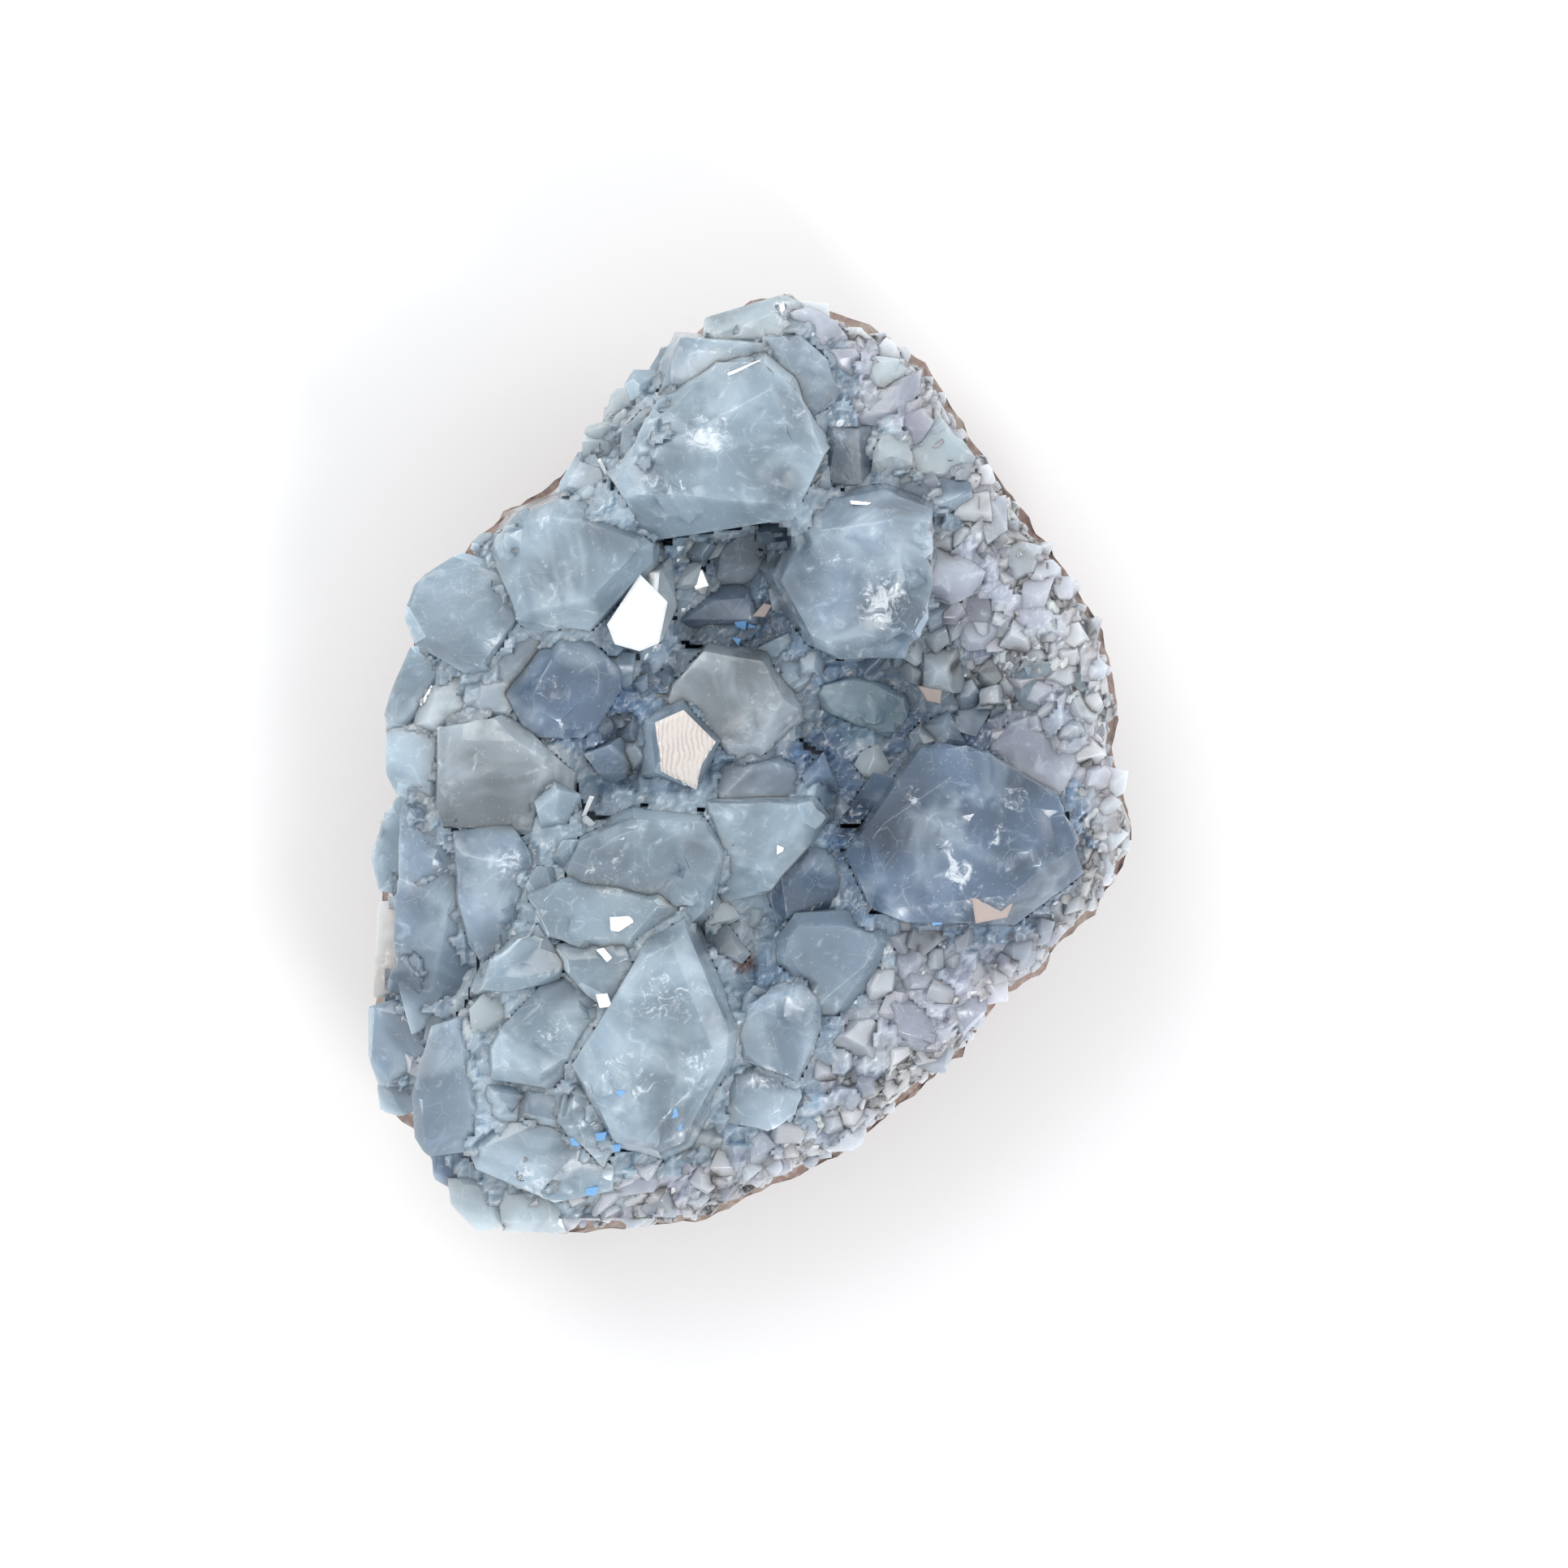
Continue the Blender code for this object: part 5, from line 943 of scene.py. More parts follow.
def crystal_material(name, clear_share, roughness, look, included=False):
    """Milky see-through crystal; its tone comes from the mesh.

    With included, cracks and white clouds lie inside. Without a clear share it
    is milky only.
    """
    sh = Shader(name)
    tint = sh.attribute("tint", "Color")
    haze = sh.attribute("haze", "Fac")
    cloud = sh.attribute("cloud", "Fac")
    drift = sh.noise(0.11, 3.0, 0.6, 0.6)
    wisps = sh.noise(0.42, 5.0, 0.62, 1.4)
    speck_and_glint_noise = sh.noise(2.6, 2.0, 0.5)
    milk = drift.ease(0.42, 0.66)
    wisp = wisps.ease(0.54, 0.78)
    speck_and_glint = speck_and_glint_noise.ease(0.66, 0.74)
    color = sh.mix(milk * 0.45, tint, tuple(look.milk_tone))
    color = sh.mix(wisp * 0.22, color, (0.66, 0.71, 0.75))
    # Pale flecks: partly white specks in the crystal, partly painted glints.
    color = sh.mix(speck_and_glint * 0.4, color, (0.8, 0.84, 0.86))
    amount = haze * 0.55 + 0.35 * milk + 0.4 * wisp
    if included:
        crack = (1 - sh.cells(0.36, "DISTANCE_TO_EDGE").ease(0.0, 0.03)) * sh.noise(0.3, 2.0).ease(0.5, 0.62)
        color = sh.mix(crack * 0.3, color, (0.66, 0.71, 0.75))
        veil = (sh.noise(0.62, 5.0, 0.75, 1.1) + 0.3 * cloud).ease(0.66, 0.84) * cloud.ease(0.03, 0.3)
        color = sh.mix(veil * 0.75, color, (0.78, 0.82, 0.85))
        amount = amount + 0.5 * veil
    normal = sh.bump(sh.noise(0.9, 5.0, 0.72), 0.16, 0.0003)
    rough = roughness + 0.22 * wisp + 0.12 * milk
    milky = sh.principled(
        Base_Color=color, Roughness=rough, IOR=1.62, Subsurface_Weight=1.0, Subsurface_Scale=look.glow,
        Subsurface_Radius=(0.95, 1.0, 1.05), Normal=normal,
    )
    if not clear_share:
        return sh.finish(milky)
    clear = sh.principled(
        Base_Color=color, Roughness=rough, IOR=1.62, Transmission_Weight=clear_share, Normal=normal
    )
    blend = sh.node("ShaderNodeMixShader", {}, {0: amount, 1: clear, 2: milky})
    deep = sh.node(
        "ShaderNodeVolumeAbsorption", {},
        {"Color": (*look.deep_tone, 1.0), "Density": look.density},
    )
    return sh.finish(blend, deep)


def frost_material(name, color, look):
    """Frosted face: paler, rougher and less see-through."""
    sh = Shader(name)
    tint = sh.attribute("tint", "Color")
    grains = sh.noise(3.0, 4.0, 0.6)
    streaks = sh.noise(0.7, 5.0, 0.7, 1.2)
    tone = sh.mix(0.16 + 0.4 * streaks.ease(0.5, 0.7), tint, color)
    normal = sh.bump(sh.noise(1.4, 4.0, 0.65), 0.9, 0.0004)
    return sh.finish(sh.principled(
        Base_Color=tone, Roughness=0.25 + 0.3 * grains, IOR=1.62, Subsurface_Weight=1.0,
        Subsurface_Scale=look.glow, Subsurface_Radius=(0.95, 1.0, 1.05), Normal=normal
    ))


def wall_material(look):
    """Pale granular stone with a brownish skin on its outer side."""
    sh = Shader("geode wall stone")
    skin = sh.attribute("skin", "Fac")
    blotch = sh.noise(0.09, 4.0, 0.6, 0.8)
    grains = sh.noise(1.4, 4.0, 0.65)
    pits = sh.cells(1.1)
    stone = sh.mix(blotch.ease(0.35, 0.7), look.stone_tone, look.cream_tone)
    stone = sh.mix(grains.ease(0.55, 0.75) * 0.6, stone, (0.72, 0.70, 0.68))
    brown = sh.mix(blotch.ease(0.4, 0.62), look.skin_tone, (0.36, 0.29, 0.25))
    brown = sh.mix(grains.ease(0.45, 0.7) * 0.75, brown, (0.5, 0.44, 0.4))
    brown = sh.mix(sh.noise(0.5, 5.0, 0.7).ease(0.58, 0.7) * 0.7, brown, (0.19, 0.13, 0.11))
    cover = (skin + 0.5 * (grains - 0.5)).ease(0.35, 0.65)
    color = sh.mix(cover, stone, brown)
    height = grains + 0.6 * pits + 0.5 * sh.noise(5.0, 3.0)
    normal = sh.bump(height, 0.6, 0.0004)
    return sh.finish(sh.principled(Base_Color=color, Roughness=0.78 + 0.15 * grains, Normal=normal))


def crust_material(name):
    """Glassy crust of intergrown crystals with pale lines along the grain edges, partly cracks and partly painted
    highlights.
    """
    sh = Shader(name)
    tint = sh.attribute("tint", "Color")
    grains = sh.noise(1.3, 4.0, 0.6, 0.5)
    streaks = sh.noise(0.55, 5.0, 0.7, 1.2)
    edge = (1 - sh.cells(0.55, "DISTANCE_TO_EDGE").ease(0.0, 0.07)) * streaks.ease(0.42, 0.6)
    color = sh.mix(streaks.ease(0.5, 0.72) * 0.3, tint, (0.58, 0.62, 0.67))
    # Pale lines along the grain edges: partly cracks, partly painted edge highlights.
    color = sh.mix(edge * 0.45, color, (0.76, 0.79, 0.83))
    color = sh.mix(grains.ease(0.62, 0.74) * 0.35, color, (0.72, 0.75, 0.78))
    normal = sh.bump(sh.cells(0.8), 0.35, 0.0004)
    return sh.finish(sh.principled(
        Base_Color=color, Roughness=0.1 + 0.25 * grains, IOR=1.62, Subsurface_Weight=1.0,
        Subsurface_Scale=0.004, Subsurface_Radius=(0.9, 1.0, 1.1), Normal=normal
    ))


def bed_material(name):
    """Crust of small intergrown crystals that the others stand on."""
    sh = Shader(name)
    tint = sh.attribute("tint", "Color")
    grains = sh.noise(1.8, 4.0, 0.6, 0.5)
    spots = sh.noise(0.25, 3.0, 0.6)
    color = sh.mix(grains.ease(0.5, 0.72) * 0.55, tint, (0.68, 0.70, 0.73))
    color = sh.mix(spots.ease(0.66, 0.8) * 0.25, color, (0.42, 0.36, 0.36))
    normal = sh.bump(sh.noise(1.8, 3.0, 0.6), 0.2, 0.0003)
    return sh.finish(sh.principled(Base_Color=color, Roughness=0.15 + 0.3 * grains, IOR=1.62, Normal=normal))


# Pieces


def wall_body(look):
    """The geode wall with its lumps and grains, in millimetres."""
    bm = bmesh.new()
    skin = bm.verts.layers.float.new("skin")
    steps = look.fineness
    under = [FLAT_SHARE + (1 - FLAT_SHARE) * (i + 1) / 34 for i in range(34)]
    upper = [0.994, 0.985, 0.975, 0.965, 0.955, 0.945, 0.93, 0.915, 0.9, 0.88, 0.86, 0.83, 0.8, 0.74, 0.66, 0.56, 0.42, 0.2]
    reach = [outline_radius(2 * math.pi * step / steps) for step in range(steps)]
    loops = []
    spot = []
    for step in range(steps):
        angle = 2 * math.pi * step / steps
        wobble = 1.0 + 0.12 * noise.noise(Vector((math.cos(angle), math.sin(angle), 3.0)))
        vert = bm.verts.new((
            FLAT_CENTRE[0] + FLAT_SPOT[0] * wobble * math.cos(angle),
            FLAT_CENTRE[1] + FLAT_SPOT[1] * wobble * math.sin(angle), 0.0,
        ))
        vert[skin] = 1.0
        spot.append(vert)
    loops.append(spot)
    for side, share in [("under", s) for s in under] + [("upper", s) for s in upper]:
        loop = []
        for step in range(steps):
            angle = 2 * math.pi * step / steps
            radius = reach[step] * share
            x = radius * math.cos(angle)
            y = radius * math.sin(angle)
            if side == "under":
                point = Vector((x, y, rim_height(angle) * smooth_bowl(share)))
                lump = noise.noise(point * 0.085) + 0.55 * noise.noise(point * 0.2)
                fade = smooth(0.3, 0.6, share) * (1 - smooth(0.86, 1.0, share))
                point.z += UNDERSIDE_LUMPS * lump * fade
                squeeze = 1.0 + 0.03 * noise.noise(point * 0.12) * fade
                point.x *= squeeze
                point.y *= squeeze
                rough = 0.45 * noise.fractal(point * 0.55, 1.0, 2.0, 4)
                rough += 0.5 * abs(noise.noise(point * 0.3)) - 0.2
                away = Vector((x, y, -12.0)).normalized()
                blend = smooth(FLAT_SHARE, FLAT_SHARE + 0.08, share)
                point += away * rough * look.roughness * blend
                point.z = max(point.z, 0.02)
            else:
                point = Vector((x, y, wall_top(share, angle)))
                lump = noise.noise(point * 0.16) + 0.6 * noise.noise(point * 0.37)
                point.z += LUMP_HEIGHT * lump
                point.z += 0.5 * look.roughness * (grain(x, y, 1.3, 4.0) - 0.5) * smooth(0.8, 0.9, share)
                edge = smooth(0.975, 1.0, share)
                point.z += 0.4 * edge * noise.noise(point * 0.9)
            vert = bm.verts.new(point)
            vert[skin] = 1.0 if side == "under" else smooth(0.95, 0.985, share)
            loop.append(vert)
        loops.append(loop)
    for inner, outer in zip(loops, loops[1:]):
        for step in range(steps):
            after = (step + 1) % steps
            bm.faces.new((inner[step], inner[after], outer[after], outer[step]))
    bm.faces.new(loops[0])
    middle = bm.verts.new((0, 0, HOLLOW_HEIGHT - 0.3))
    for step in range(steps):
        bm.faces.new((loops[-1][step], loops[-1][(step + 1) % steps], middle))
    bmesh.ops.recalc_face_normals(bm, faces=bm.faces)
    bmesh.ops.scale(bm, vec=(MM, MM, MM), verts=bm.verts)
    for face in bm.faces:
        face.smooth = True
    return bm


def bed_body(look):
    """The grainy crust at the roots of the crystals, in millimetres."""
    bm = bmesh.new()
    tint = bm.verts.layers.float_color.new("tint")
    steps = look.bed_fineness
    shares = [0.1 + 0.5 * i / 24 for i in range(24)] + [0.6 + 0.375 * i / 44 for i in range(45)]
    lilac = Vector(linear((186, 186, 196)))
    pale = Vector(linear((200, 205, 204)))
    dark = Vector(linear((112, 128, 144)))
    loops = []
    for share in shares:
        loop = []
        for step in range(steps):
            angle = 2 * math.pi * step / steps
            radius = outline_radius(angle) * share
            x = radius * math.cos(angle)
            y = radius * math.sin(angle)
            level = wall_top(share, angle) + CRUST_DEPTH + 1.1 * noise.noise(Vector((x, y, 0)) * 0.31)
            level -= 0.9 * smooth(0.6, 0.88, share)
            level += 0.9 * smooth(0.78, 0.88, share) - 1.6 * smooth(0.91, 0.97, share)
            level += 1.7 * (grain(x, y, 2.3, 1.0) - 0.5) + 0.7 * (grain(x, y, 0.95, 2.0) - 0.5)
            vert = bm.verts.new((x, y, level))
            patch = smooth(-0.2, 0.25, noise.noise(Vector((x, y, 7)) * 0.07))
            # Darker towards the middle of the hollow: painted shade.
            tone = lilac.lerp(pale, patch).lerp(dark, 1 - smooth(0.45, 0.8, share))
            vert[tint] = (*tone, 1.0)
            loop.append(vert)
        loops.append(loop)
    low = []
    for vert in loops[-1]:
        bottom = bm.verts.new((vert.co.x, vert.co.y, vert.co.z - 3.0))
        bottom[tint] = vert[tint]
        low.append(bottom)
    loops.append(low)
    for inner, outer in zip(loops, loops[1:]):
        for step in range(steps):
            after = (step + 1) % steps
            bm.faces.new((inner[step], inner[after], outer[after], outer[step]))
    bm.faces.new(loops[0])
    bmesh.ops.recalc_face_normals(bm, faces=bm.faces)
    bmesh.ops.scale(bm, vec=(MM, MM, MM), verts=bm.verts)
    return bm


def small_crystal(x, y, z, size, tall, facing, lean, rng):
    """Corners of one stubby crystal that stands at a point and leans."""
    sides = rng.choice((4, 5, 6))
    axis = tilted(facing, lean)
    across = axis.orthogonal().normalized()
    other = axis.cross(across)
    turn = rng.uniform(0, math.pi)
    flat = rng.uniform(0.55, 1.0)
    planes = [(Vector((x, y, z)) - axis * tall * 0.5, -axis)]
    middle = Vector((x, y, z))
    for corner in range(sides):
        a = turn + 2 * math.pi * (corner + rng.uniform(-0.12, 0.12)) / sides
        out = across * math.cos(a) * flat + other * math.sin(a)
        out.normalize()
        width = size * rng.uniform(0.75, 1.1)
        planes.append((middle + out * width, out))
        if rng.random() < 0.8:
            slope = math.radians(rng.uniform(35, 58))
            tip = out * math.sin(slope) + axis * math.cos(slope)
            planes.append((middle + axis * tall + out * size * rng.uniform(0.05, 0.6), tip))
    cap = (axis + across * rng.uniform(-0.35, 0.35) + other * rng.uniform(-0.35, 0.35)).normalized()
    planes.append((middle + axis * tall, cap))
    return convex_body(planes, 0.02)


def rim_cluster(look):
    """Stubby crystals packed along the broken rim."""
    rng = random.Random(look.seed)
    cluster = Cluster()
    for _ in range(look.rim_count):
        angle = math.radians(rng.uniform(-128, 92))
        reach = outline_radius(angle)
        inward = 1.2 + 8.5 * rng.random() ** 1.3
        x = (reach - inward) * math.cos(angle)
        y = (reach - inward) * math.sin(angle)
        share = (reach - inward) / reach
        crust = 1.2 - 1.0 * smooth(0.88, 0.97, share)
        z = wall_height_at(x, y) + CRUST_DEPTH - 1.9 + crust - 0.6
        size = rng.uniform(0.4, 0.9) if inward < 3 else rng.uniform(0.7, 1.9)
        patch = noise.noise(Vector((x, y, 4.0)) * 0.12)
        tone = rng.choice(("rim_lilac", "rim_frost")) if rng.random() < 0.7 else "rim_grey"
        if patch > 0.05 and rng.random() < 0.75:
            tone = "rim_frost"
        corners = small_crystal(
            x, y, z - 0.4 * size, size, size * rng.uniform(1.3, 2.3), math.degrees(angle) + rng.uniform(-45, 45),
            rng.uniform(0, 50), rng,
        )
        cluster.add(corners, tone, 0.07 if size > 0.8 else 0, rng, 0.05)
    return cluster


def hollow_cluster(look):
    """Small crystals in the hollow and in the gaps between the large ones."""
    rng = random.Random(look.seed + 1)
    cluster = Cluster()
    for _ in range(look.hollow_count):
        angle = rng.uniform(0, 2 * math.pi)
        share = math.sqrt(rng.random()) * 0.9
        radius = outline_radius(angle) * share
        x = radius * math.cos(angle)
        y = radius * math.sin(angle)
        size = rng.uniform(0.7, 1.9)
        z = wall_height_at(x, y) + CRUST_DEPTH + rng.uniform(-0.5, 2.5) - 1.2 * smooth(0.6, 0.88, share)
        tone = rng.choices(("slate", "blue", "deep", "pale", "frost"), (4, 4, 3, 2, 2))[0]
        if share > 0.66 and -2.2 < angle_from_right(angle) < 1.4:
            tone = rng.choice(("rim_lilac", "rim_frost", "rim_grey"))
        corners = small_crystal(
            x, y, z, size, size * rng.uniform(1.0, 2.2), math.degrees(angle) + 180 + rng.uniform(-60, 60),
            rng.uniform(0, 45), rng,
        )
        cluster.add(corners, tone, 0.06, rng, 0.12)
    return cluster


def covers(corners, x, y):
    """Whether a convex outline, turning either way, holds a point."""
    sides = []
    for first, second in zip(corners, corners[1:] + corners[:1]):
        cross = (second[0] - first[0]) * (y - first[1]) - (second[1] - first[1]) * (x - first[0])
        sides.append(cross > 0)
    return all(sides) or not any(sides)


def angle_from_right(angle):
    """The same direction as an angle between minus and plus pi."""
    return math.atan2(math.sin(angle), math.cos(angle))


def gap_cluster(look):
    """Middling crystals that fill the gaps between the large ones."""
    rng = random.Random(look.seed + 3)
    cluster = Cluster()
    caps = []
    for spec in CRYSTALS:
        corners = [tuple(corner[:2]) for corner in hull_of(spec["outline"])]
        middle = (
            sum(corner[0] for corner in corners) / len(corners),
            sum(corner[1] for corner in corners) / len(corners),
        )
        reach = max(math.dist(corner, middle) for corner in corners)
        caps.append((corners, middle, reach, spec["top"], spec["tone"]))
    for _ in range(look.gap_count):
        angle = rng.uniform(0, 2 * math.pi)
        share = math.sqrt(rng.random()) * 0.93
        reach = outline_radius(angle)
        x = reach * share * math.cos(angle)
        y = reach * share * math.sin(angle)
        if any(covers(cap[0], x, y) for cap in caps):
            continue
        near = sorted(caps, key=lambda cap: math.dist(cap[1], (x, y)) - 0.6 * cap[2])[:3]
        level = sum(cap[3] for cap in near) / 3 - rng.uniform(0.8, 2.8)
        hollow = 1 - smooth(9, 15, math.dist((4.5, 7.0), (x, y)))
        level -= 3.5 * hollow
        ground = wall_height_at(x, y) + CRUST_DEPTH - 1.5
        level = max(level, ground + 1.0)
        size = min(rng.uniform(0.9, 2.6), 0.6 * reach * (1 - share) + 0.5)
        tone = near[0][4]
        # Tones painted as reflections and glints, and the cream and plate tones, are not passed to the gap crystals.
        if tone in ("mirror", "vivid", "cream", "plate"):
            tone = "blue"
        if hollow > 0.5:
            tone = rng.choice(("slate", "deep", "blue"))
        if share > 0.7 and -2.2 < angle_from_right(angle) < 1.4:
            tone = rng.choice(("rim_lilac", "rim_frost", "rim_grey"))
        tall = max(level - ground, 2.0 * size)
        corners = small_crystal(
            x, y, level - tall, size, tall, rng.uniform(0, 360), rng.uniform(0, 26), rng,
        )
        cluster.add(corners, tone, 0.06, rng, 0.1)
    return cluster


def large_cluster(look):
    """The large and middling crystals."""
    rng = random.Random(look.seed + 2)
    cluster = Cluster()
    for spec in CRYSTALS:
        shape = {key: value for key, value in spec.items() if key != "tone"}
        planes = crystal_planes(**shape)
        corners = hull_of(spec["outline"])
        width = max(c[0] for c in corners) - min(c[0] for c in corners)
        planes = chipped(planes, rng, 3 if width > 6 else 1, 0.09 * width)
        edge = look.edge_wear * (1.0 if width > 6 else 0.6)
        flat = 0.06 if spec["tone"] in ("mirror", "warm", "cream", "vivid") else 1.0
        cluster.add(
            convex_body(planes), spec["tone"], edge, rng, 0.05, look.fineness, flat * look.step_depth,
            0.12 * flat,
        )
    return cluster


# Sizes and colours that a user would change


class WallLook(bpy.types.PropertyGroup):
    """Geode wall"""

    fineness: IntProperty(name="Fineness", description="Points around the wall", default=260, min=60, max=600)
    bed_fineness: IntProperty(
        name="Crust fineness", description="Points around the grainy crust", default=420, min=60, max=700
    )
    roughness: FloatProperty(
        name="Relief", description="Depth of the stone's lumps and grains in millimetres", default=1.0, min=0, max=2
    )
    stone_tone: FloatVectorProperty(
        name="Stone", description="Colour of the broken stone", subtype="COLOR", default=linear((168, 160, 154)),
        min=0, max=1,
    )
    cream_tone: FloatVectorProperty(
        name="Cream", description="Colour of its paler parts", subtype="COLOR", default=linear((190, 184, 174)),
        min=0, max=1,
    )
    skin_tone: FloatVectorProperty(
        name="Skin", description="Colour of the brownish skin", subtype="COLOR", default=linear((150, 126, 118)),
        min=0, max=1,
    )


class CrystalLook(bpy.types.PropertyGroup):
    """Crystals"""

    seed: IntProperty(name="Seed", description="Changes the small crystals", default=5)
    rim_count: IntProperty(name="Rim crystals", description="Stubby crystals along the rim", default=1150, min=0)
    hollow_count: IntProperty(name="Hollow crystals", description="Small crystals in the hollow", default=330, min=0)
    gap_count: IntProperty(name="Gap crystals", description="Tries at crystals between the large ones", default=2100, min=0)
    infill_step: FloatProperty(
        name="Crust step", description="Spacing of the intergrown crust in millimetres", default=0.42, min=0.2, max=2
    )
    infill_reach: FloatProperty(
        name="Crust reach", description="How far the crust spreads from a crystal in millimetres", default=2.4,
        min=0.5, max=8,
    )
    infill_drop: FloatProperty(
        name="Crust drop", description="Depth of the crust under a crystal's edge in millimetres", default=0.9,
        min=0, max=4,
    )
    infill_slope: FloatProperty(
        name="Crust slope", description="Fall of the crust for each millimetre outward", default=0.55, min=0.1, max=4
    )
    edge_wear: FloatProperty(
        name="Edge wear", description="Width of the worn edges in millimetres", default=0.18, min=0, max=1
    )
    fineness: FloatProperty(
        name="Fineness", description="Longest edge on a broken face in millimetres", default=0.96, min=0.3, max=5
    )
    step_depth: FloatProperty(
        name="Step depth", description="Depth of the small steps on the faces in millimetres", default=1.5,
        min=0, max=2,
    )
    glow: FloatProperty(
        name="Glow", description="How far light spreads in the milky parts", default=0.004, min=0, unit="LENGTH"
    )
    milk_tone: FloatVectorProperty(
        name="Milk", description="Colour of the milky clouds", subtype="COLOR", default=linear((188, 200, 208)),
        min=0, max=1,
    )
    deep_tone: FloatVectorProperty(
        name="Depth", description="Colour that light takes on inside", subtype="COLOR", default=(0.52, 0.67, 0.79),
        min=0, max=1,
    )
    density: FloatProperty(name="Density", description="How fast light fades inside, per metre", default=70.0, min=0)


class StageLook(bpy.types.PropertyGroup):
    """Floor, light and camera"""

    floor_tone: FloatVectorProperty(
        name="Floor", description="Colour of the floor", subtype="COLOR", default=(0.86, 0.86, 0.86), min=0, max=1
    )
    lens: FloatProperty(name="Lens", description="Focal length", default=210.0, unit="CAMERA")
    frame_width: FloatProperty(
        name="Frame width", description="Width of the picture at the crystals", default=0.161, unit="LENGTH"
    )
    target: FloatVectorProperty(
        name="Target", description="Point that the camera looks at", default=(0.0035, -0.002, 0.032),
        subtype="TRANSLATION", unit="LENGTH",
    )


class Celestite(bpy.types.PropertyGroup):
    """Everything about the specimen that can be changed"""

    wall: PointerProperty(type=WallLook)
    crystals: PointerProperty(type=CrystalLook)
    stage: PointerProperty(type=StageLook)


# Operators


class CELESTITE_OT_wall(bpy.types.Operator):
    """Build the piece of geode wall that the crystals grow on"""

    bl_idname = "celestite.wall"
    bl_label = "Geode wall"

    def execute(self, context):
        look = settings().wall
        wall = make_object("geode_wall", wall_body(look), [wall_material(look)])
        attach(wall, "root")
        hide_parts("matrix")
        return {"FINISHED"}


class CELESTITE_OT_bed(bpy.types.Operator):
    """Build the grainy crust that the crystals stand on"""

    bl_idname = "celestite.bed"
    bl_label = "Grainy crust"

    def execute(self, context):
        bed = make_object("druse_bed", bed_body(settings().wall), [bed_material("druse bed")])
        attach(bed, "root")
        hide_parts("crystals")
        return {"FINISHED"}


def place_crystals(name, cluster, clear_share, roughness):
    """Turn a cluster into a piece of the specimen."""
    look = settings().crystals
    body = cluster.object(name, [
        crystal_material(name.replace("_", " "), clear_share, roughness, look, name == "large_crystals"),
        frost_material(name.replace("_", " ") + " frosted faces", (0.62, 0.68, 0.72), look),
    ])
    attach(body, "root")
    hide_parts("crystals")


class CELESTITE_OT_large(bpy.types.Operator):
    """Build the large and middling crystals"""

    bl_idname = "celestite.large"
    bl_label = "Large crystals"

    def execute(self, context):
        place_crystals("large_crystals", large_cluster(settings().crystals), 0.75, 0.07)
        return {"FINISHED"}


class CELESTITE_OT_rim(bpy.types.Operator):
    """Build the stubby crystals along the rim"""

    bl_idname = "celestite.rim"
    bl_label = "Rim crystals"

    def execute(self, context):
        place_crystals("rim_crystals", rim_cluster(settings().crystals), 0.0, 0.18)
        return {"FINISHED"}


class CELESTITE_OT_gaps(bpy.types.Operator):
    """Build the crystals that fill the gaps between the large ones"""

    bl_idname = "celestite.gaps"
    bl_label = "Gap crystals"

    def execute(self, context):
        place_crystals("gap_crystals", gap_cluster(settings().crystals), 0.7, 0.1)
        return {"FINISHED"}


def seen_from_above(names, places):
    """Height in millimetres and tint at each place, seen straight from above."""
    heights = np.full(len(places), -100.0)
    tints = np.zeros((len(places), 3))
    graph = bpy.context.evaluated_depsgraph_get()
    for name in names:
        body = bpy.data.objects[name]
        tree = BVHTree.FromObject(body, graph)
        layer = body.data.attributes.get("tint")
        for number, (x, y) in enumerate(places):
            hit, _, face, _ = tree.ray_cast(Vector((x, y, 200)) * MM, Vector((0, 0, -1)))
            if hit and hit.z / MM > heights[number]:
                heights[number] = hit.z / MM
                if layer:
                    tints[number] = layer.data[body.data.polygons[face].vertices[0]].color[:3]
    return heights, tints


